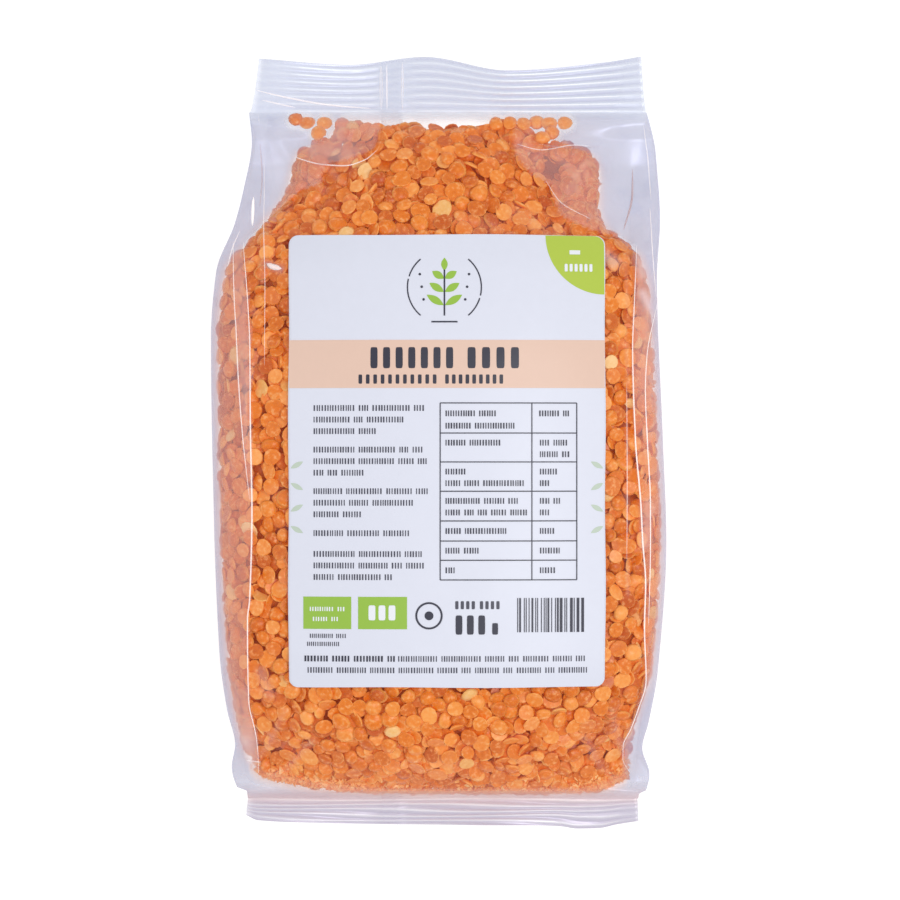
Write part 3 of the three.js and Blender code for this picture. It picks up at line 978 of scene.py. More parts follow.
around_axis, y_axis = chart_axes()
chart = heap_surface(around_axis[None, :], y_axis[:, None])
across_step = (np.roll(chart, -1, axis=1) - np.roll(chart, 1, axis=1)) / (2 * CELL)
along_step = np.gradient(chart, axis=0) / CELL
chart_normal = unit(np.cross(across_step, along_step))
chart_across = unit(across_step)
chart_along = np.cross(chart_normal, chart_across)
stretch_across = np.linalg.norm(across_step, axis=-1)
stretch_along = np.linalg.norm(along_step, axis=-1)
turned = np.roll(chart_normal, -BEND_REACH, 1) - np.roll(chart_normal, BEND_REACH, 1)
turning = np.linalg.norm(turned, axis=-1)
curvature = np.clip(turning / (2 * BEND_REACH * CELL * stretch_across + 1e-6), 0, SHARPEST_BEND)
face_up = np.array(FACE_UP)[np.floor(around_axis).astype(int)][None, :, None]
looks = unit(chart_normal + face_up * np.array([0.0, 0.0, 1.0]))
looks_local = np.stack([dot(looks, way) for way in (chart_across, chart_along, chart_normal)], axis=-1)
print("chart cells:", chart.shape[:2])

# %% [markdown]
# ## Pouring the lentils
# Lentils in a bag settle against the film, so the picture is the reverse of a heap on a table: the
# ones that touch the film are whole, and the ones behind fill what is left. The pour below works
# the same way, from the film inwards. A depth map holds how far in the film side is already taken.
# Each new half lentil tries several places, slides outwards until it touches the film or a
# neighbour, and takes the place where it comes closest to the film.

# %% Sizes of a split lentil
LENTIL_RADIUS = [2.24, 0.2]
LENTIL_THICKNESS = [1.2, 0.13]
RADIUS_RANGE = (1.65, 2.7)
THICKNESS_RANGE = (0.85, 1.5)
MOST_LEAN = 1.0
FLAT_OUT_SHARE = 0.55
DOME_FLATNESS = 0.6
WINDOW = 10
LABEL_SIZE = [82.5, 117.8]
LABEL_CENTRE = [2.2, -4.8]
HIDDEN_MARGIN = 6.0
END_MARGIN = 5
OVERLAP = 0.85
THINNEST_HEAP = 3.5
LEAST_STRETCH = {"across": 0.2, "along": 0.4}
NOT_COVERED = -9


def open_cells():
    """Chart cells where a lentil may lie: not hidden well under the label, not at the very end or in
    its thin wedge, and not where the chart is squeezed too hard."""
    x, y = chart[..., 0], chart[..., 1]
    half = np.array(LABEL_SIZE) / 2 - HIDDEN_MARGIN
    under_label = (np.abs(x - LABEL_CENTRE[0]) < half[0]) & (np.abs(y - LABEL_CENTRE[1]) < half[1])
    under_label &= (around_axis < 1)[None, :]
    sizes = section(HEAP_SHAPE, y)
    thick = sizes["front"] - sizes["back"] > THINNEST_HEAP
    even = (stretch_across > LEAST_STRETCH["across"]) & (stretch_along > LEAST_STRETCH["along"])
    within = np.zeros(chart.shape[:2], bool)
    within[END_MARGIN:-END_MARGIN] = True
    return np.argwhere(~under_label & thick & even & within)


def dome(radius, thickness, away):
    """Height of the domed side at a distance from the middle: thickness times a flattened circle."""
    return thickness * np.clip(1 - (away / radius) ** 2, 0, 1) ** DOME_FLATNESS


def pour(depth_map, cells, count, choices, leaning, deepest):
    """Places up to count lentils and returns one row for each: chart row, chart column, depth,
    radius, thickness, the three parts of its facing in the chart's frame, and 1 for flat side out.
    A lentil leans from where its cell looks by a random angle; its plane is then lower by
    (across part * across + along part * along) / outward part. Rims may overlap a little."""
    reach = np.arange(-WINDOW, WINDOW + 1)
    step_row, step_column = [part.ravel() for part in np.meshgrid(reach, reach, indexing="ij")]
    placed = []
    for _ in range(count):
        picked = cells[random.integers(len(cells), size=choices)]
        radius = np.clip(random.normal(*LENTIL_RADIUS), *RADIUS_RANGE)
        thickness = np.clip(random.normal(*LENTIL_THICKNESS), *THICKNESS_RANGE)
        lean = math.tan(min(abs(random.normal(0, leaning)), MOST_LEAN))
        flat_out = random.random() < FLAT_OUT_SHARE
        heading = random.uniform(0, 2 * np.pi, size=choices)
        at = picked[:, 0], picked[:, 1]
        leaned = lean * np.stack([np.cos(heading), np.sin(heading), 0 * heading], axis=-1)
        faced = unit(looks_local[at] + leaned)
        rows = picked[:, :1] + step_row
        columns = (picked[:, 1:] + step_column) % chart.shape[1]
        legal = (rows >= 0) & (rows < chart.shape[0])
        rows = rows.clip(0, chart.shape[0] - 1)
        across = step_column * CELL * stretch_across[at][:, None]
        along = step_row * CELL * stretch_along[at][:, None]
        lower = (faced[:, :1] * across + faced[:, 1:2] * along) / faced[:, 2:]
        away = np.sqrt(across**2 + along**2 + lower**2)
        covered = legal & (away < radius * OVERLAP)
        height = dome(radius, thickness, away)
        outer = lower - (0 if flat_out else height)
        inner = lower + (height if flat_out else 0)
        taken = depth_map[rows, columns]
        depth = np.where(covered, taken - outer, NOT_COVERED).max(axis=1)
        best = int(depth.argmin())
        if depth[best] > deepest:
            continue
        cover = covered[best]
        spots = rows[best][cover], columns[best][cover]
        depth_map[spots] = np.maximum(depth_map[spots], depth[best] + inner[best][cover])
        placed.append([*picked[best], depth[best], radius, thickness, *faced[best], flat_out])
    return np.array(placed, float)


# %% Pour three times: against the film, behind it, and into the gaps
depth_map = np.zeros(chart.shape[:2])
cells = open_cells()
# Each pour as (count, choices, leaning, deepest)
POURS = [(6000, 8, 0.38, 2.2), (4600, 9, 0.5, 3.4), (3400, 8, 0.6, 4.8)]
pours = [pour(depth_map, cells, *sizes) for sizes in POURS]
print("lentils placed:", [len(rows) for rows in pours])

# %% [markdown]
# ## The shape of half a lentil
# Half a split lentil has a flat face, a blunt rim and a dome. It is a small polar grid: rings of
# twelve points, out from the middle of the flat face, round the rim and up the dome. The outline
# is never a true circle, so its radius swings by a few hundredths in two waves of its own, and every
# point of the rim is nicked a little.

# %% The lentil template
SIDES = 12
RINGS = [
    # share of the radius, height as a share of the thickness, paleness (partly a painted highlight)
    (0.90, 0.0, 0.12), (1.0, -0.16, 1.0), (0.74, -0.70, 0.0),
]
FLAT_HOLLOW = 0.05
UNEVEN = (0.01, 0.09)
CORNERS_SHARE = 0.7
NICKS = 0.018
MOST_LIFT = 2


def lentil_template():
    """The angle of each side, and the quads and triangles of half a lentil whose flat face looks
    along +Z: its rings come first, then the pole of its flat face and the pole of its dome."""
    turn = np.arange(SIDES) * 2 * np.pi / SIDES
    around_rings = grid_faces(len(RINGS), SIDES, closed=True)
    first = np.arange(SIDES)
    following = (first + 1) % SIDES
    top_pole = len(RINGS) * SIDES
    bottom_pole = top_pole + 1
    last = (len(RINGS) - 1) * SIDES
    flat = np.stack([np.full(SIDES, top_pole), first, following], axis=-1)
    domed = np.stack([np.full(SIDES, bottom_pole), last + following, last + first], axis=-1)
    return turn, around_rings[:, ::-1], np.concatenate([flat, domed])


def film_gap(x, y):
    """Heights of the back film and of the front film at each place."""
    sizes = section(FILM_SHAPE, y)
    low = thin_ends(x, y, back_height(sizes, x) + FILM_BACK_LIFT)
    return low, thin_ends(x, y, front_height(sizes, x))


def keep_inside(points):
    """Moves each lentil as a whole down and then up until it lies between the front film and the back
    film, unless it would have to rise too far. points is lentils by points by three."""
    x, y, z = np.moveaxis(points, -1, 0)
    low, high = film_gap(x, y)
    above = z - high + FILM_CLEARANCE
    z -= np.maximum(above.max(axis=1), 0)[:, None]
    below = low + FILM_CLEARANCE - z
    lift = np.maximum(below.max(axis=1), 0)
    z += (lift * (lift < MOST_LIFT))[:, None]


def lentil_meshes(centre, across, along, normal, spin, radius, thickness, flat_out):
    """Points, faces and paleness of many half lentils, each in its own frame of three directions."""
    turn, quads, triangles = lentil_template()
    count = len(centre)
    angle = turn[None, :] + spin[:, None]
    waves = random.uniform(0, 2 * np.pi, size=(2, count, 1))
    oval, corners = random.uniform(*UNEVEN, size=(2, count, 1))
    nicks = random.normal(0, NICKS, size=(count, SIDES))
    oval_wave = oval * np.cos(2 * angle + waves[0])
    corner_wave = CORNERS_SHARE * corners * np.cos(3 * angle + waves[1])
    uneven = 1 + oval_wave + corner_wave + nicks
    ring_radius, ring_height, ring_pale = np.array(RINGS).T
    reach = radius[:, None, None] * uneven[:, None, :] * ring_radius[None, :, None]
    poles = np.zeros((count, 2))
    ends = np.stack([-FLAT_HOLLOW * thickness, -thickness], axis=1)
    ring_across = (reach * np.cos(angle)[:, None, :]).reshape(count, -1)
    ring_along = (reach * np.sin(angle)[:, None, :]).reshape(count, -1)
    ring_out = np.repeat(thickness[:, None] * ring_height[None, :], SIDES, axis=1)
    turned = np.where(flat_out[:, None] > 0.5, 1.0, -1.0)
    part_across = np.concatenate([ring_across, poles], axis=1)
    part_along = np.concatenate([ring_along, poles], axis=1) * turned
    part_out = np.concatenate([ring_out, ends], axis=1) * turned
    points = (
        centre[:, None, :]
        + part_across[..., None] * across[:, None, :]
        + part_along[..., None] * along[:, None, :]
        + part_out[..., None] * normal[:, None, :]
    )
    keep_inside(points)
    size = points.shape[1]
    offsets = (np.arange(count) * size)[:, None, None]
    all_quads = (quads[None] + offsets).reshape(-1, 4)
    all_triangles = (triangles[None] + offsets).reshape(-1, 3)
    pale = np.concatenate([np.repeat(ring_pale, SIDES), [0.0, 0.0]])
    return points.reshape(-1, 3), [all_quads, all_triangles], np.tile(pale, (count, 1))


# %% Put the poured lentils where they came to rest
def rest_frames(rows):
    """Centre and three directions of each poured lentil. Where the film bends round it, it is set
    back by the height of the bend under its radius, radius ** 2 * curvature / 2."""
    at = rows[:, 0].astype(int), rows[:, 1].astype(int)
    depth, radius = rows[:, 2], rows[:, 3]
    normal = chart_normal[at]
    out_across, out_along, out_normal = np.split(rows[:, 5:8], 3, axis=1)
    faced = out_across * chart_across[at] + out_along * chart_along[at] + out_normal * normal
    across = unit(chart_across[at] - faced * dot(chart_across[at], faced)[:, None])
    along = np.cross(faced, across)
    bend = 0.5 * radius**2 * curvature[at]
    centre = chart[at] - normal * (depth + FILM_CLEARANCE + bend)[:, None]
    return centre, across, along, faced


TONES = (0.5, 0.24)
# How strong each lentil's pale rim and painted rim highlight is, picked at random
RIM_PALENESS_SPREAD = (0.25, 1.25)


def build_lentils(name, rows, material):
    """One piece made of these poured lentils. Each has a tone of its own and a pale rim, partly a
    painted highlight, that is stronger on some lentils than on others."""
    spin = random.uniform(0, 2 * np.pi, len(rows))
    radius, thickness, flat_out = rows[:, 3], rows[:, 4], rows[:, 8]
    points, faces, pale = lentil_meshes(*rest_frames(rows), spin, radius, thickness, flat_out)
    tone = random.normal(*TONES, len(rows)).clip(0, 1)
    rim_strength = random.uniform(*RIM_PALENESS_SPREAD, (len(rows), 1))
    values = {"tone": np.repeat(tone, pale.shape[1]), "rim": (pale * rim_strength).clip(0, 1)}
    flat = len(faces[0]) + np.arange(len(faces[1])).reshape(len(rows), -1)[:, :SIDES]
    return new_piece(name, points, faces, material, values, flat_faces=flat.ravel())


CORNER_START = 54.0
CORNER_INSET = 2.0


def within_corners(rows):
    """The rows without those that slid out of the heap's outline in its two top corners."""
    x, y, _ = rest_frames(rows)[0].T
    return rows[(y < CORNER_START) | (past_heap(x, y) < EMPTY_MARGIN - CORNER_INSET)]


PALE_SHARE = 0.025
pours = [within_corners(rows) for rows in pours]
seen_first = np.concatenate(pours[:2])
is_pale = random.random(len(seen_first)) < PALE_SHARE
panel_of = np.floor(around_axis[seen_first[:, 1].astype(int)])
is_flat = seen_first[:, 8] > 0.5
PLACES = {"front": panel_of == 0, "side": panel_of % 2 == 1, "back": panel_of == 2}
lentil_pieces = []
for place, chosen in PLACES.items():
    for kind, alike in (("flat", is_flat), ("domed", ~is_flat)):
        rows = seen_first[chosen & alike & ~is_pale]
        lentil_pieces.append(build_lentils(f"lentils_{place}_{kind}", rows, lentil))
lentil_pieces.append(build_lentils("lentils_pale", seen_first[is_pale], pale_lentil))
lentil_pieces.append(build_lentils("lentils_deep", pours[2], lentil))

# %% [markdown]
# ## The core and the loose ones
# Behind the poured lentils lies a closed core, so no light shows through the heap. It stands for the
# lentils deep in the heap in painted shade: dark orange domes with darker painted shade in the gaps,
# and a faint painted glow. A few lentils have strayed up between the films above the heap, more lie
# loose along its top edges and its foot, and broken bits have sifted down to the bottom weld.

# %% The core
CORE_INSET = [3.4, 0.0, 3.4]
CORE_INSET_AT_TOP = [6.5, 0.0, 3.4]
CORE_TOP_EASE = (TUCK_START - 6, TUCK_START + 8)
CORE_LEAST_HALF = 0.1
CORE_MOST_INSET = 0.55
CORE_LENGTH = 0.967
CORE_STEP = 4


def build_core():
    """The heap's surface with each ring drawn in towards its own middle, more so at the top, the
    whole made a little shorter, and closed at both ends by a point."""
    keep_rows = np.arange(0, chart.shape[0], CORE_STEP)
    keep_columns = np.arange(0, chart.shape[1], CORE_STEP)
    rings = chart[np.ix_(keep_rows, keep_columns)]
    low = rings.min(axis=1, keepdims=True)
    high = rings.max(axis=1, keepdims=True)
    middle = (low + high) / 2
    half = np.maximum((high - low) / 2, CORE_LEAST_HALF)
    at_top = ease(low[..., 1:2], *CORE_TOP_EASE)
    inset = mix(np.array(CORE_INSET), np.array(CORE_INSET_AT_TOP), at_top)
    points = middle + (rings - middle) * (1 - np.minimum(inset / half, CORE_MOST_INSET))
    points[..., 1] *= CORE_LENGTH
    rows, columns = points.shape[:2]
    poles = np.stack([points[0].mean(0), points[-1].mean(0)])
    ring = np.arange(columns)
    following = (ring + 1) % columns
    first_pole = rows * columns
    low_end = np.stack([np.full(columns, first_pole), following, ring], axis=-1)
    top = (rows - 1) * columns
    high_end = np.stack([np.full(columns, first_pole + 1), top + ring, top + following], axis=-1)
    every_point = np.concatenate([points.reshape(-1, 3), poles])
    faces = [grid_faces(rows, columns, closed=True), np.concatenate([low_end, high_end])]
    return new_piece("lentil_core", every_point, faces, core_material)


lentil_core = build_core()

# %% Loose lentils above the heap, at its top edges and at its foot
STRAY_RADIUS = 2.0
STRAY_SIZES = (0.92, 1.1)
STRAY_THICKNESS = 1.1
STRAY_UP = 0.9
STRAY_LEAN = 0.35
# Strays are painted a little lighter, and the named ones more, against the shade the films cast on them
STRAY_TONES = (0.55, 0.15)
LIGHTER_AGAINST_SHADE = 0.3
LOWEST_STRAY = 2.6
PRESSED = 0.1
EDGE_STRAYS = 200
EDGE_SPAN = (48.0, 79.0)
EDGE_INSIDE = (2.7, 10.0)
EDGE_UP = (0.15, 0.5)
EDGE_RISE = 0.035
FOOT_STRAYS = 150
FOOT_SPAN = (-46.0, 48.0)
FOOT_ABOVE = (2.2, 6.0)
FOOT_UP = (0.3, 0.72)
FOOT_LEAN = (-0.45, 0.25)
LOWEST_FOOT = -91.4


def edge_strays():
    """Lentils along the heap's two top edges: y at random over the span, x up to two lentils' width
    inside the edge, left and right in turn, and a random lean."""
    y = random.uniform(*EDGE_SPAN, EDGE_STRAYS)
    inside = random.uniform(*EDGE_INSIDE, EDGE_STRAYS)
    on_left = np.arange(EDGE_STRAYS) % 2 == 0
    from_left = follow(HEAP_SHAPE["left_side"], y) + inside
    from_right = follow(HEAP_SHAPE["right_side"], y) - inside
    leans = random.normal(0, STRAY_LEAN, (2, EDGE_STRAYS))
    return np.stack([np.where(on_left, from_left, from_right), y, *leans], axis=-1)


def foot_strays():
    """Lentils along the heap's lowest edge, leaned towards the bottom weld."""
    x = random.uniform(*FOOT_SPAN, FOOT_STRAYS)
    y = np.maximum(follow(HEAP_LOW, x) + random.uniform(*FOOT_ABOVE, FOOT_STRAYS), LOWEST_FOOT)
    lean_across = random.normal(0, STRAY_LEAN, FOOT_STRAYS)
    lean_along = random.normal(*FOOT_LEAN, FOOT_STRAYS)
    return np.stack([x, y, lean_across, lean_along], axis=-1)


def build_strays():
    """Lentils that lie between the films: at each place part of the way up, leaned as given, and
    pressed flat where the films close on them."""
    x, y, lean_x, lean_y = np.concatenate([STRAYS, edge_strays(), foot_strays()]).T
    named = len(STRAYS)
    from_side = np.minimum(x - follow(HEAP_SHAPE["left_side"], y), follow(HEAP_SHAPE["right_side"], y) - x)
    by_edge = random.uniform(*EDGE_UP, EDGE_STRAYS) + EDGE_RISE * from_side[named:][:EDGE_STRAYS]
    by_foot = random.uniform(*FOOT_UP, FOOT_STRAYS)
    up = np.concatenate([np.full(named, STRAY_UP), by_edge, by_foot])
    sizes = section(FILM_SHAPE, y)
    height = np.maximum(mix(back_height(sizes, x), front_height(sizes, x), up), LOWEST_STRAY)
    centre = np.stack([x, y, height], axis=-1)
    faced = unit(np.stack([lean_x, lean_y, np.ones(len(x))], axis=-1))
    across = unit(np.cross([0.0, 1.0, 0.0], faced))
    along = np.cross(faced, across)
    count = len(x)
    radius = random.normal(*LENTIL_RADIUS, size=count)
    radius[:named] = STRAY_RADIUS * random.uniform(*STRAY_SIZES, named)
    flat_out = (random.random(count) < 0.5).astype(float)
    spin = random.uniform(0, 6, count)
    thickness = np.full(count, STRAY_THICKNESS)
    points, faces, pale = lentil_meshes(centre, across, along, faced, spin, radius, thickness, flat_out)
    low, high = film_gap(points[:, 0], points[:, 1])
    points[:, 2] = np.clip(points[:, 2], low + PRESSED, high - PRESSED)
    tone = random.normal(*STRAY_TONES, count)
    tone[:named] += LIGHTER_AGAINST_SHADE
    values = {"tone": np.repeat(tone, pale.shape[1]), "rim": pale * flat_out[:, None]}
    return new_piece("lentils_stray", points, faces, lentil, values)


lentil_pieces.append(build_strays())

# %% Chips along the bottom weld
CHIP_COUNT = 2600
CHIP_SIZE = [0.3, 1.35]
CHIP_SPAN = (-48, 50.5)
CHIP_SPREAD = 1.9
CHIP_FROM_WELD = (1.5, 2.6)
CHIP_UNDER_FILM = 0.9
CHIP_DEPTHS = (0, 0.5)
CHIP_MOST_UP = 0.75
CHIP_OFF_BACK = 0.3
CHIP_TONES = (0.5, 0.25)
CHIP_CORNERS = np.array([
    [1.0, 0.1, 0.0], [-0.5, 0.8, 0.1], [-0.6, -0.7, 0.0], [0.4, -0.9, -0.1],
    [0.0, 0.1, 0.42], [0.0, 0.0, -0.4],
])
CHIP_FACES = np.array([
    [0, 1, 4], [1, 2, 4], [2, 3, 4], [3, 0, 4], [1, 0, 5], [2, 1, 5], [3, 2, 5], [0, 3, 5],
])


def build_chips():
    """Broken bits just inside the front film, thickest at the heap's bottom edge: a squashed double
    pyramid each, turned at random."""
    x = random.uniform(*CHIP_SPAN, CHIP_COUNT)
    y = follow(HEAP_LOW, x) + np.abs(random.normal(0, CHIP_SPREAD, CHIP_COUNT))
    y = np.maximum(y, BODY_BOTTOM + random.uniform(*CHIP_FROM_WELD, CHIP_COUNT))
    sizes = section(FILM_SHAPE, y)
    top = front_height(sizes, x)
    low = back_height(sizes, x)
    under_film = top - CHIP_UNDER_FILM - np.abs(random.normal(*CHIP_DEPTHS, CHIP_COUNT))
    height = np.minimum(under_film, mix(low, top, CHIP_MOST_UP))
    height = np.maximum(height, low + CHIP_OFF_BACK)
    size = random.uniform(0, 1, CHIP_COUNT) ** 2 * (CHIP_SIZE[1] - CHIP_SIZE[0]) + CHIP_SIZE[0]
    frames = np.linalg.qr(random.normal(size=(CHIP_COUNT, 3, 3)))[0]
    frames[:, :, 2] *= np.sign(np.linalg.det(frames))[:, None]
    shaped = CHIP_CORNERS[None] * size[:, None, None]
    points = np.einsum("nij,nkj->nki", frames, shaped) + np.stack([x, y, height], -1)[:, None, :]
    keep_inside(points)
    offsets = (np.arange(CHIP_COUNT) * len(CHIP_CORNERS))[:, None, None]
    faces = (CHIP_FACES[None] + offsets).reshape(-1, 3)
    tone = np.repeat(random.normal(*CHIP_TONES, CHIP_COUNT), len(CHIP_CORNERS))
    values = {"tone": tone, "rim": np.zeros(len(tone))}
    return new_piece("lentil_chips", points.reshape(-1, 3), faces, chip, values, flat_faces=slice(None))


lentil_pieces.append(build_chips())

# %% [markdown]
# ## The label
# The label is a rectangle of coated paper with small round corners, stuck to the front film. Paper
# bends one way easily and two ways badly, so it follows the bag's dome with faint waves where the
# lentils press from behind. One function gives its height anywhere, and the inks use it too.

# %% Label sizes and surface
LABEL_CORNER = 2.4
LABEL_LIFT = 0.3
LABEL_THICKNESS = 0.12
LABEL_ROWS = 150
LABEL_COLUMNS = 110
CORNER_ROWS = 10
LABEL_WAVE = 0.05
SIDE_WAVE = 0.12
END_WAVE = 0.10


def label_height(x, y, lift):
    """Height of the label's face: the film's front, a set distance above, and shallow waves. They
    are the product of two sines that bend each other, and are a few lentils long."""
    across = np.sin(x / 3.1 + 0.7 * np.sin(y / 9.0))
    along = np.sin(y / 4.3 + 0.9 * np.sin(x / 7.0))
    return front_height(section(FILM_SHAPE, y), x) + lift + LABEL_WAVE * across * along


def label_half_width(up):
    """Half the label's width at a height from its middle: full, less a quarter round at a corner."""
    past = np.clip(np.abs(up) - (LABEL_SIZE[1] / 2 - LABEL_CORNER), 0, LABEL_CORNER)
    return LABEL_SIZE[0] / 2 - LABEL_CORNER + np.sqrt(LABEL_CORNER**2 - past**2)


def build_label():
    """Two faces of one grid, a paper's thickness apart, joined by a wall round the edge."""
    turn = np.linspace(0, np.pi / 2, CORNER_ROWS)[:-1]
    straight = LABEL_SIZE[1] / 2 - LABEL_CORNER
    corner = straight + LABEL_CORNER * np.cos(turn)
    up = np.concatenate([-corner, np.linspace(-straight, straight, LABEL_ROWS), corner[::-1]])
    share = np.linspace(-1, 1, LABEL_COLUMNS)
    x = LABEL_CENTRE[0] + label_half_width(up)[:, None] * share[None, :]
    x = x + SIDE_WAVE * np.sin(up / 7.0)[:, None] * share[None, :]
    y = LABEL_CENTRE[1] + up[:, None] + END_WAVE * np.sin(x / 8.0) * (up / up.max())[:, None]
    rows, columns = x.shape
    upper = np.stack([x, y, label_height(x, y, LABEL_LIFT)], axis=-1).reshape(-1, 3)
    lower = np.stack([x, y, label_height(x, y, LABEL_LIFT - LABEL_THICKNESS)], axis=-1).reshape(-1, 3)
    face = grid_faces(rows, columns)
    count = rows * columns
    edge = np.concatenate([
        np.arange(columns), np.arange(1, rows) * columns + columns - 1,
        count - 1 - np.arange(1, columns), np.arange(rows - 2, 0, -1) * columns,
    ])
    ahead = np.roll(edge, -1)
    wall = np.stack([edge + count, ahead + count, ahead, edge], axis=-1)
    faces = np.concatenate([face, face[:, ::-1] + count, wall])
    return new_piece("label_paper", np.concatenate([upper, lower]), faces, paper)


label_piece = build_label()

# %% [markdown]
# ## What is printed on it
# The print is fields of colour and simple shapes. Places on the label are given as they would be
# measured on a proof: millimetres right of its left edge and down from its top edge. A bar is a small
# grid, a round shape is a polar grid, and each follows the label's face a few hundredths above it.

# %% Printing helpers
INK_LIFT = 0.04
INK_THICKNESS = 0.02
INK_STEP = 2.0


class Sheet:
    """Collects the shapes printed in one ink, until they become one piece."""

    def __init__(self, ink, layer=1):
        self.ink = ink
        self.lift = LABEL_LIFT + INK_LIFT * layer
        self.points = []
        self.faces = []
        self.count = 0

    def add_grid(self, right, down, closed=False):
        """Adds a grid of places on the label; right and down are arrays of one shape."""
        x = LABEL_CENTRE[0] - LABEL_SIZE[0] / 2 + right
        y = LABEL_CENTRE[1] + LABEL_SIZE[1] / 2 - down
        points = np.stack([x, y, label_height(x, y, self.lift)], axis=-1)
        faces = grid_faces(*x.shape, closed=closed)
        self.points.append(points.reshape(-1, 3))
        self.faces.append(faces + self.count)
        self.count += x.size

    def bar(self, left, top, right, bottom):
        """A rectangle, cut into steps short enough to follow the paper."""
        across = np.linspace(left, right, 2 + int((right - left) / INK_STEP))
        down = np.linspace(bottom, top, 2 + int((bottom - top) / INK_STEP))
        self.add_grid(*np.meshgrid(across, down))

    def round_shape(self, centre, outline, inner=0.0, rings=4):
        """A shape with this outline round its centre, from an inner share of it out to its edge."""
        share = np.linspace(1, inner, rings)[:, None]
        offset = np.asarray(outline)[None, :, :] * share[:, :, None]
        self.add_grid(centre[0] + offset[..., 0], centre[1] + offset[..., 1], closed=True)

    def build(self, name):
        """The finished piece, a thin closed layer of ink."""
        faces = np.concatenate(self.faces)
        piece = new_piece(name, np.concatenate(self.points), faces, INKS[self.ink], flat_faces=slice(None))
        thick = piece.modifiers.new("ink thickness", "SOLIDIFY")
        thick.thickness = INK_THICKNESS * MM
        thick.offset = 1.0
        return piece


def circle(radius, points):
    """Points of a circle, counted so that its face looks up."""
    angle = -np.arange(points) * 2 * np.pi / points
    return np.stack([radius * np.cos(angle), radius * np.sin(angle)], -1)


LEAF_POINTS = 16
LEAF_FULLNESS = 0.9


def leaf(length, width, turn):
    """Points of a pointed leaf, turned about its middle: its width is a sine along its length, to a
    power a little under 1."""
    share = np.linspace(0, 1, LEAF_POINTS)
    half = width / 2 * np.sin(np.pi * share) ** LEAF_FULLNESS
    along = np.concatenate([share, share[-2:0:-1]]) * length - length / 2
    across = np.concatenate([-half, half[-2:0:-1]])
    right = along * math.cos(turn) - across * math.sin(turn)
    down = along * math.sin(turn) + across * math.cos(turn)
    return np.stack([right, down], -1)


# %% Coloured fields
PRINT_LEFT = 0.15
PRINT_RIGHT = 82.35
PRINT_TOP = 0.15
BAND_TOP = 27.5
BAND_BOTTOM = 40.0
CORNER_FIELD = 15.4
peach = Sheet("peach")
peach.bar(PRINT_LEFT, BAND_TOP, PRINT_RIGHT, BAND_BOTTOM)
green = Sheet("green")
# The corner field is a quarter round, swept from the label's own round corner out to its edge
sweep = np.linspace(0, 1, 12)[:, None]
field_turn = np.linspace(0.0, np.pi / 2, 24)[None, :]
green.add_grid(
    PRINT_RIGHT - mix(LABEL_CORNER * (1 - np.sin(field_turn)), CORNER_FIELD * np.cos(field_turn), sweep),
    PRINT_TOP + mix(LABEL_CORNER * (1 - np.cos(field_turn)), CORNER_FIELD * np.sin(field_turn), sweep),
)
leaf_green = Sheet("leaf_green")
leaf_green.bar(3.9, 94.2, 16.4, 102.6)
leaf_green.bar(18.2, 94.2, 30.9, 102.6)

# %% Lines in place of text
dark = Sheet("dark", layer=2)
grey = Sheet("grey")


UNEVEN_STROKES = (0.8, 1.25)


def words(sheet, left, right, middle, height, longest=9, stroke=0.32, gap=0.34):
    """A line of words from left to right, each a run of thin upright strokes of one height, at a
    height of middle down the label."""
    place = left
    while place < right - 4 * stroke:
        for _ in range(2 * random.integers(2, longest)):
            width = stroke * random.uniform(*UNEVEN_STROKES)
            if place + width > right:
                return
            sheet.bar(place, middle - height / 2, place + width, middle + height / 2)
            place += width + gap * random.uniform(*UNEVEN_STROKES)
        place += 2.4 * gap


BLOCK_SQUARENESS = 0.32


def blocks(sheet, left, top, count, width, height, pitch):
    """A row of upright rounded blocks, one for each letter left out. A block is a circle whose sine
    and cosine are raised to a small power, which squares it."""
    angle = -np.linspace(0, 2 * np.pi, 24, endpoint=False)
    right = width / 2 * np.sign(np.cos(angle)) * np.abs(np.cos(angle)) ** BLOCK_SQUARENESS
    down = height / 2 * np.sign(np.sin(angle)) * np.abs(np.sin(angle)) ** BLOCK_SQUARENESS
    for index in range(count):
        middle = left + index * pitch + width / 2
        sheet.round_shape([middle, top + height / 2], np.stack([right, down], -1))


# The two lines on the peach band, as (left, top, count, width, height, pitch)
HEADING_BLOCKS = [
    (21.4, 29.4, 7, 1.85, 5.5, 3.27),
    (46.6, 29.4, 4, 2.1, 5.5, 3.75),
    (18.3, 36.5, 11, 0.95, 2.4, 1.93),
    (40.8, 36.5, 9, 0.95, 2.4, 1.76),
]
for row in HEADING_BLOCKS:
    blocks(dark, *row)
# Each line of the text column, as (middle, right end)
TEXT_LEFT = 6.6
TEXT_HEIGHT = 1.5
TEXT_LINES = [
    (45.2, 35.4), (48.2, 30.4), (51.2, 23.0), (56.0, 35.4), (59.0, 36.6), (62.0, 19.6), (66.8, 36.6),
    (69.8, 33.0), (72.8, 19.4), (77.7, 32.0), (83.1, 34.8), (86.1, 35.6), (89.1, 27.4),
]
for middle, right in TEXT_LINES:
    words(grey, TEXT_LEFT, right, middle, TEXT_HEIGHT)
# The lines at the label's foot, as (ink, left, right, middle, height, stroke, gap)
FOOT_LINES = [
    (dark, 4.2, 28.0, 110.3, 1.5, 0.42, 0.34),
    (grey, 28.6, 77.6, 110.3, 1.45, 0.32, 0.34),
    (grey, 5.0, 77.8, 113.3, 1.45, 0.32, 0.34),
    (grey, 5.6, 15.0, 104.4, 1.1, 0.24, 0.28),
    (grey, 4.9, 14.6, 106.5, 1.1, 0.24, 0.28),
]
for sheet, left, right, middle, height, stroke, gap in FOOT_LINES:
    words(sheet, left, right, middle, height, stroke=stroke, gap=gap)

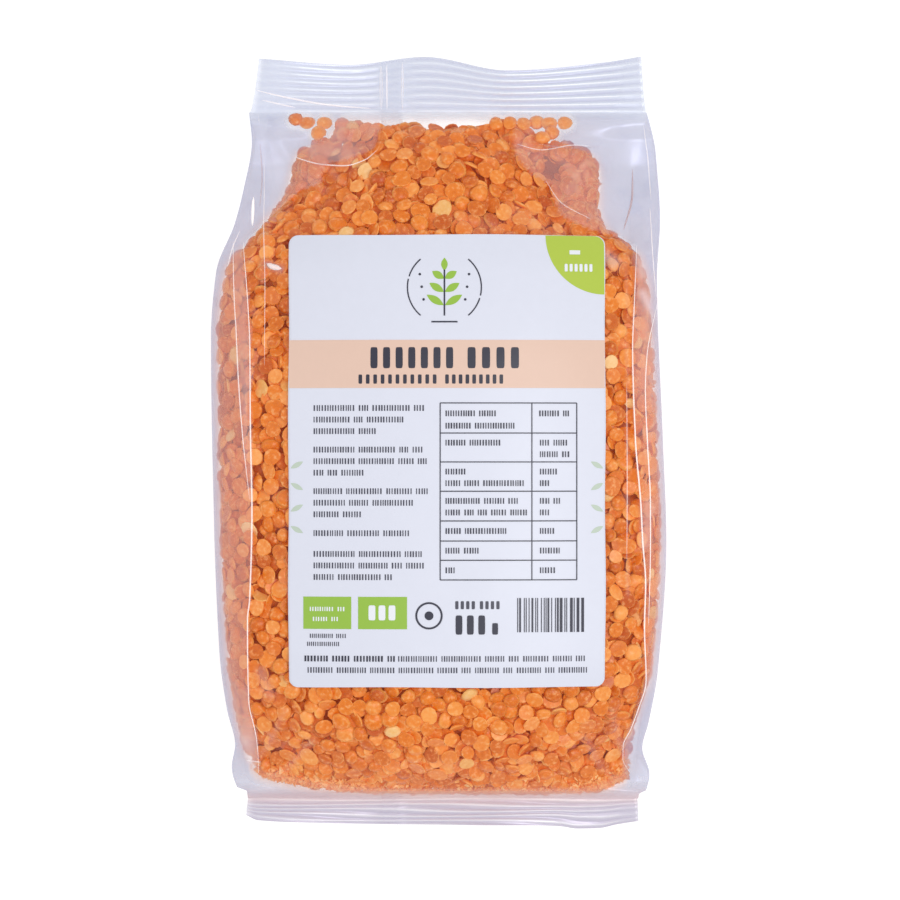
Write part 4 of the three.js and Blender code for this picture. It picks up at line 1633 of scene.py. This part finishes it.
# %% The ruled table
TABLE_BOX = [39.5, 43.9, 75.0, 89.8]
TABLE_SPLIT = 63.3
TABLE_RULES = [51.7, 59.2, 66.8, 74.5, 79.7, 84.7]
RULE = 0.28
left, top, right, bottom = TABLE_BOX
for down in [top, *TABLE_RULES, bottom]:
    dark.bar(left, down - RULE / 2, right, down + RULE / 2)
for across in (left, TABLE_SPLIT, right):
    dark.bar(across - RULE / 2, top, across + RULE / 2, bottom)
# The words in the table, as (middle, right end of the first, left end and right end of the second)
TABLE_LEFT = 40.9
TABLE_WORDS = [
    (46.6, 54.0, 65.2, 73.4), (49.8, 60.4, None, None), (54.2, 56.8, 65.4, 72.8), (57.2, None, 65.4, 73.4),
    (61.7, 47.4, 65.4, 69.8), (64.7, 63.0, 65.4, 68.0), (69.3, 59.8, 65.4, 70.8), (72.3, 62.4, 65.4, 68.0),
    (77.1, 57.4, 65.4, 69.6), (82.2, 49.8, 65.4, 71.2), (87.3, 43.8, 65.4, 70.8),
]
for middle, first_end, second_start, second_end in TABLE_WORDS:
    if first_end:
        words(dark, TABLE_LEFT, first_end, middle, TEXT_HEIGHT)
    if second_start:
        words(dark, second_start, second_end, middle, TEXT_HEIGHT, longest=5)

# %% Marks along the bottom
RING_CENTRE = [36.6, 99.1]
dark.round_shape(RING_CENTRE, circle(3.55, 36), inner=0.86, rings=2)
dark.round_shape(RING_CENTRE, circle(1.15, 20))
MARK_BLOCKS = [
    (grey, 43.4, 95.3, 4, 0.85, 2.1, 1.42),
    (grey, 49.8, 95.3, 4, 0.85, 2.1, 1.42),
    (dark, 43.5, 99.0, 3, 1.75, 5.0, 2.95),
    (dark, 53.0, 101.0, 1, 1.5, 3.0, 2.2),
]
for row in MARK_BLOCKS:
    blocks(*row)
# A row of upright lines, of random widths and gaps
LINES_LEFT, LINES_RIGHT, LINES_TOP, LINES_BOTTOM = 59.5, 77.7, 94.5, 103.4
LINE_WIDTHS = [0.24, 0.24, 0.48, 0.72]
LINE_GAPS = [0.24, 0.26, 0.5, 0.74]
place = LINES_LEFT
while place < LINES_RIGHT - 0.5:
    width = random.choice(LINE_WIDTHS)
    dark.bar(place, LINES_TOP, place + width, LINES_BOTTOM)
    place += width + random.choice(LINE_GAPS)

# %% [markdown]
# ### A plain ornament
# The head of the label carries a small ornament in green and grey. This one is a plain sprout
# between two arcs: a stem, three pairs of leaves and a few dots, drawn from one leaf shape. Two
# faint sprigs at the sides of the label come from the same leaf.

# %% The sprout and the sprigs
white = Sheet("white", layer=2)
pale_green = Sheet("pale_green")


HEAD = [40.6, 13.8]
ARC_RADIUS = 9.6
ARC_THICKNESS = 0.34
ARC_STEPS = 28


def arc(sheet, start, end):
    """A band along part of the circle round the ornament, from one angle to another."""
    angle = np.linspace(start, end, ARC_STEPS)[None, :]
    reach = np.array([ARC_RADIUS - ARC_THICKNESS / 2, ARC_RADIUS + ARC_THICKNESS / 2])[:, None]
    sheet.add_grid(HEAD[0] + reach * np.cos(angle), HEAD[1] - reach * np.sin(angle))


for start in (0.72, 0.72 + math.pi):
    arc(dark, start - 0.95, start + 0.15)
arc(dark, math.pi - 0.87, math.pi - 0.3)
arc(dark, -0.87, -0.3)
dark.bar(HEAD[0] - 0.2, HEAD[1] - 4.6, HEAD[0] + 0.2, HEAD[1] + 7.4)
for level in range(3):
    down = HEAD[1] + 4.8 - 3.5 * level
    length = 5.2 - 0.8 * level
    for side in (-1, 1):
        turn = -0.55 if side > 0 else math.pi + 0.55
        middle = [HEAD[0] + side * length * 0.46, down - length * 0.28]
        leaf_green.round_shape(middle, leaf(length, 1.9, turn))
leaf_green.round_shape([HEAD[0], HEAD[1] - 6.0], leaf(3.4, 1.7, -math.pi / 2))
for side in (-1, 1):
    for index in range(3):
        spot = [HEAD[0] + side * (6.4 - 0.5 * index), HEAD[1] - 3.4 + 3.3 * index]
        dark.round_shape(spot, circle(0.34, 12))
dark.bar(HEAD[0] - 3.4, HEAD[1] + 8.8, HEAD[0] + 3.4, HEAD[1] + 9.2)
for edge, side in ((0.2, 1), (82.3, -1)):
    for index in range(4):
        down = 60.0 + 5.6 * index
        turn = 0.5 if side > 0 else math.pi - 0.5
        pale_green.round_shape([edge + side * 2.0, down], leaf(3.7, 1.3, turn if index % 2 else -turn))
white.bar(73.2, 4.0, 76.0, 5.1)
blocks(white, 71.9, 7.6, 6, 0.8, 2.0, 1.3)
words(white, 5.6, 14.8, 97.4, 1.1)
words(white, 6.4, 13.6, 100.0, 1.1)
blocks(white, 20.9, 96.4, 3, 1.8, 3.9, 2.6)

SHEETS = {
    "ink_peach_band": peach,
    "ink_corner_field": green,
    "ink_green_fields": leaf_green,
    "ink_pale_sprigs": pale_green,
    "ink_dark_print": dark,
    "ink_grey_lines": grey,
    "ink_white_marks": white,
}
ink_pieces = [sheet.build(name) for name, sheet in SHEETS.items()]

# %% [markdown]
# ## Seams and pressed creases
# The film tube is closed by a fin along its back, pressed flat to one side and caught in both welds.
# Where the film is creased hard it keeps a fine pale line, drawn brighter by a painted highlight:
# whiter film that glows a little. A few dark creases carry painted shade instead. Each line is a
# bead: a thin ridge of diamond section that follows a smooth path on the skin and thins out to
# nothing at both ends.

# %% Paths of the crease lines
CREASE_LINES = [
    # path as [x, y], width, haze
    ([[x, y] for y, x in CLEAR_LEFT[:11]], 0.42, 0.40),
    ([[x, y] for y, x in LEFT_BAND], 0.34, 0.34),
    ([[x, y] for y, x in CLEAR_RIGHT[:14]], 0.42, 0.42),
    ([[57.5, 36.4], [54.6, 22.8], [54.1, 13.6], [54.6, 0.7], [55.4, -16.2], [55.4, -27.5], [54.9, -48]],
     0.36, 0.40),
    ([[-47.8, 87], [-46.2, 72], [-46.0, 58], [-45.4, 40], [-45.4, 20]], 0.26, 0.22),
    ([[-49.0, 65], [-49.0, 57]], 0.9, 0.75),
    ([[-45.0, 46.8], [-43.2, 45.9], [-41.0, 45.4]], 1.5, 0.4),
    ([[49.1, 15.4], [49.2, -10], [49.1, -31]], 0.26, 0.22),
    ([[-40.9, 77], [-36.4, 74.9], [-30.6, 73.3], [-24.6, 72.8], [-19.3, 74.3], [-16, 77]], 0.36, 0.34),
    ([[-51.0, -84.2], [-47.0, -84.5]], 0.4, 0.5),
    ([[20.5, 78.5], [27, 77], [36, 78.5], [44, 78]], 0.3, 0.22),
    ([[28, 69], [32, 63], [40, 58.5]], 0.3, 0.18),
    ([[-55.5, 46], [-54.3, 51], [-52.3, 56]], 0.3, 0.25),
    ([[55.8, 62], [56.3, 50], [57.3, 38]], 0.3, 0.25),
    ([[54.3, 84], [55.6, 74], [56.2, 64]], 0.3, 0.22),
]
# Creases that are dark, painted shade in their folds: [[x, y] path], width, haze
DARK_CREASES = [
    ([[51.4, 72.5], [51.2, 65.7], [48.6, 55.7]], 0.5, 0.26),
    ([[26, 78.6], [36, 77.6], [43, 78.4]], 0.4, 0.16),
    ([[-47.4, 80], [-46.8, 70], [-47.2, 62]], 0.4, 0.12),
]
BEAD_STEP = 0.8
BEAD_HEIGHT = 0.16
BEAD_FOOT = 0.02
BEAD_DEPTH = -0.05
BEAD_LIFT = 0.06
BEAD_THINNEST = 0.08
BEAD_SHEEN = 0.3


def skin_height(x, y):
    """Height of the upper skin at x, y, on the front panel or on the gusset beyond its crease."""
    sizes = section(FILM_SHAPE, y)
    front = front_height(sizes, x)
    left = (sizes["left_crease"] - x) / (sizes["left_crease"] - sizes["left_side"])
    right = (x - sizes["right_crease"]) / (sizes["right_side"] - sizes["right_crease"])
    past = np.clip(np.maximum(left, right), 0, 0.999)
    share = np.arcsin(past ** (1 / GUSSET_POWER)) / np.pi
    return np.where(past > 0, mix(sizes["front_crease"], sizes["back_crease"], share), front)


def smooth_path(path):
    """Places at even steps along a smooth curve through the path's points, and its directions."""
    knots = np.array(path, float)
    lengths = np.concatenate([[0], np.cumsum(np.hypot(*np.diff(knots, axis=0).T))])
    along = np.linspace(0, lengths[-1], max(6, int(lengths[-1] / BEAD_STEP)))
    places = np.stack([follow(np.stack([lengths, column], axis=-1), along) for column in knots.T], axis=-1)
    return places, unit(np.gradient(places, axis=0))


def bead(path, width, height_of):
    """A ridge along the path: left edge, top, right edge and underside, thinned to almost nothing at
    its ends by the square root of a sine."""
    places, directions = smooth_path(path)
    share = np.linspace(0, 1, len(places))
    thick = BEAD_THINNEST + (1 - BEAD_THINNEST) * np.sqrt(np.sin(np.pi * share))
    beside = np.stack([-directions[:, 1], directions[:, 0]], axis=-1)
    out = np.array([-0.5, 0.0, 0.5, 0.0])
    up = np.array([BEAD_FOOT, BEAD_HEIGHT, BEAD_FOOT, BEAD_DEPTH])
    flat = places[:, None, :] + beside[:, None, :] * (out * width)[None, :, None] * thick[:, None, None]
    z = height_of(flat[..., 0], flat[..., 1]) + BEAD_LIFT + up[None, :] * thick[:, None]
    rows = len(places)
    ends = np.array([[0, 1, 2, 3], [4 * rows - 1, 4 * rows - 2, 4 * rows - 3, 4 * rows - 4]])
    faces = np.concatenate([grid_faces(rows, 4, closed=True), ends])
    return np.concatenate([flat, z[..., None]], axis=-1).reshape(-1, 3), faces


def build_beads(name, lines, height_of, material=creased_film, crease_shade=0.0):
    """All these lines as one piece of film. A dark crease is greyed and warmed by painted shade in its fold.
    """
    points, faces, haze = [], [], []
    count = 0
    for path, width, strength in lines:
        new_points, new_faces = bead(path, width, height_of)
        points.append(new_points)
        faces.append(new_faces + count)
        haze.append(np.full(len(new_points), strength))
        count += len(new_points)
    haze = np.concatenate(haze)
    shade_share = crease_shade + 0 * haze
    values = {"haze": haze, "grey": shade_share, "sheen": BEAD_SHEEN + 0 * haze, "warm": shade_share}
    return new_piece(name, np.concatenate(points), np.concatenate(faces), material, values)


# %% The back fin and its print in the top weld
WELD_LINES = [
    ([[FIN_PLACE[0], 88.2], [FIN_PLACE[0] - 0.1, 100.0]], 0.9, 0.10),
    ([[FIN_PLACE[0] + 1.5, 88.2], [FIN_PLACE[0] + 1.4, 100.2]], 0.4, 0.3),
    ([[FIN_PLACE[1], 88.2], [FIN_PLACE[1], 100.9]], 0.7, 0.12),
    ([[-48.5, 93.4], [-40, 91.4], [-28, 89.4], [-18, 88.6]], 0.5, 0.4),
    ([[-47.0, 90.8], [-38, 88.8]], 0.45, 0.35),
]
FIN_LIFT = 0.16
FIN_LOWEST = 0.06
FIN_UNDER_WELD = 0.45
FIN_INSIDE_EDGE = 0.2
FIN_THICKNESS = 0.05
FIN_BODY_ROWS = 120
FIN_WELD_ROWS = 24
FIN_HAZE = {"weld": 0.03, "body": 0.18}


def top_weld_height(x, y):
    """Height of the top weld's front face at x, y."""
    out = np.clip((y - TOP_SEAL["start"]) / (follow(TOP_SEAL["edge"], x) - TOP_SEAL["start"]), 0, 1)
    return weld_height(TOP_SEAL, x, out) + WELD_THICKNESS / 2


def build_back_fin():
    """The fin along the back: it lies under the back film, then under both welds with their curl."""
    x = mix(FIN_PLACE[0], FIN_PLACE[1], np.linspace(0, 1, 7)[None, :])
    body_y = np.linspace(BODY_BOTTOM, BODY_TOP, FIN_BODY_ROWS)[:, None] + 0 * x
    body_z = back_height(section(FILM_SHAPE, body_y), x)
    top_out = np.linspace(0, 1, FIN_WELD_ROWS)[1:, None]
    bottom_out = np.linspace(1, 0, FIN_WELD_ROWS)[:-1, None]
    curl = SEAL_CURL * np.sin(2 * np.pi * x / SEAL_CURL_LENGTH)
    y = np.concatenate([
        mix(BODY_BOTTOM, follow(BOTTOM_SEAL["edge"], x) + FIN_INSIDE_EDGE, bottom_out),
        body_y,
        mix(BODY_TOP, follow(TOP_SEAL["edge"], x) - FIN_INSIDE_EDGE, top_out),
    ])
    z = np.concatenate([
        BOTTOM_SEAL_HEIGHT - FIN_UNDER_WELD + curl * bottom_out,
        np.maximum(body_z + off_floor(body_z) - FIN_LIFT, FIN_LOWEST),
        TOP_SEAL_HEIGHT - FIN_UNDER_WELD + curl * top_out,
    ])
    points = np.stack(np.broadcast_arrays(x, y, z), axis=-1)
    faces = grid_faces(*y.shape)[:, ::-1]
    in_weld = (y > BODY_TOP) | (y < BODY_BOTTOM)
    haze = np.where(in_weld, FIN_HAZE["weld"], FIN_HAZE["body"])
    values = {"haze": haze, "grey": 0.3 + 0 * haze, "sheen": haze}
    piece = new_piece("back_fin_seam", points.reshape(-1, 3), faces, film, values)
    thick = piece.modifiers.new("film thickness", "SOLIDIFY")
    thick.thickness = FIN_THICKNESS * MM
    return piece


seam_pieces = [
    build_beads("crease_lines", CREASE_LINES, skin_height),
    build_beads("dark_creases", DARK_CREASES, skin_height, film, crease_shade=0.7),
    build_beads("weld_lines", WELD_LINES, top_weld_height),
    build_back_fin(),
]

# %% [markdown]
# ## Every piece rides on the one body
# The bag has no moving part, so all of it rides on the root body. The film, the lentils and the core
# stand for the solid bag, the label paper stands for the solid label.

# %% Tie the pieces to the frame
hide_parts("bag")
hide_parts("label")
for piece in [bag_film, label_piece, lentil_core, *lentil_pieces, *ink_pieces, *seam_pieces]:
    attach(piece, "root")

# %% [markdown]
# ## Stage, light and camera
# The bag lies on a plain white sheet under a white sky, with one large soft light high on the right
# and a weaker one on the left, so that the film has something to reflect at its edges and stays
# clear over the lentils. The camera looks straight down from a metre and a half, as far as a product
# camera stands back, and frames 237 mm of the sheet at half the bag's height.


# %% Floor
FLOOR_GLOW = 0.88
FLOOR_COLOUR = (0.25, 0.25, 0.25, 1.0)
FLOOR_HALF = 3000.0


def build_floor():
    """A plain sheet that glows a little, so that it stays white under the bag's own shadow."""
    corners = FLOOR_HALF * np.array([[-1, -1, 0], [1, -1, 0], [1, 1, 0], [-1, 1, 0]])
    material, _, shader = new_material("white sheet", Roughness=0.9, Emission_Strength=FLOOR_GLOW)
    shader.inputs["Base Color"].default_value = FLOOR_COLOUR
    shader.inputs["Emission Color"].default_value = (1.0, 1.0, 1.0, 1.0)
    floor = new_piece("floor", corners, np.array([[0, 1, 2, 3]]), material)


build_floor()


# %% Lights
# Each light as (name, place in metres, width, height, power in watts)
LIGHTS = [
    ("key", (0.36, -0.08, 1.18), 0.36, 0.36, 4.3),
    ("left strip", (-0.8, 0.1, 0.8), 0.08, 0.9, 1.5),
    ("right strip", (0.9, -0.1, 0.7), 0.08, 0.9, 1.1),
]
SKY_COLOUR = (0.96, 0.97, 1.0, 1.0)
SKY_STRENGTH = 0.60


def soft_light(name, place, width, height, power):
    """A rectangular light that looks at the middle of the floor."""
    light = bpy.data.lights.new(name, "AREA")
    light.shape = "RECTANGLE"
    light.size = width
    light.size_y = height
    light.energy = power
    lamp = bpy.data.objects.new(name, light)
    lamp.location = place
    x, y, z = place
    tilt = math.atan2(math.hypot(x, y), z)
    lamp.rotation_euler = (tilt, 0, math.atan2(-y, -x) - math.pi / 2)
    bpy.context.scene.collection.objects.link(lamp)


for light_sizes in LIGHTS:
    soft_light(*light_sizes)
world = bpy.data.worlds.new("white sky")
world.use_nodes = True
background = world.node_tree.nodes["Background"]
background.inputs["Color"].default_value = SKY_COLOUR
background.inputs["Strength"].default_value = SKY_STRENGTH
bpy.context.scene.world = world
bpy.context.scene.view_settings.view_transform = "Standard"

# %% Camera
CAMERA_HEIGHT = 1.5
SHARP_HEIGHT = 0.02
FRAME_WIDTH = 0.2368
FRAME_CENTRE = (0.0030, -0.0020)
SENSOR_MM = 36.0
camera_data = bpy.data.cameras.new("camera")
camera_data.sensor_width = SENSOR_MM
camera_data.lens = SENSOR_MM * (CAMERA_HEIGHT - SHARP_HEIGHT) / FRAME_WIDTH
camera = bpy.data.objects.new("camera", camera_data)
camera.location = (*FRAME_CENTRE, CAMERA_HEIGHT)
bpy.context.scene.collection.objects.link(camera)
bpy.context.scene.camera = camera
print("lens:", round(camera_data.lens, 1), "mm")
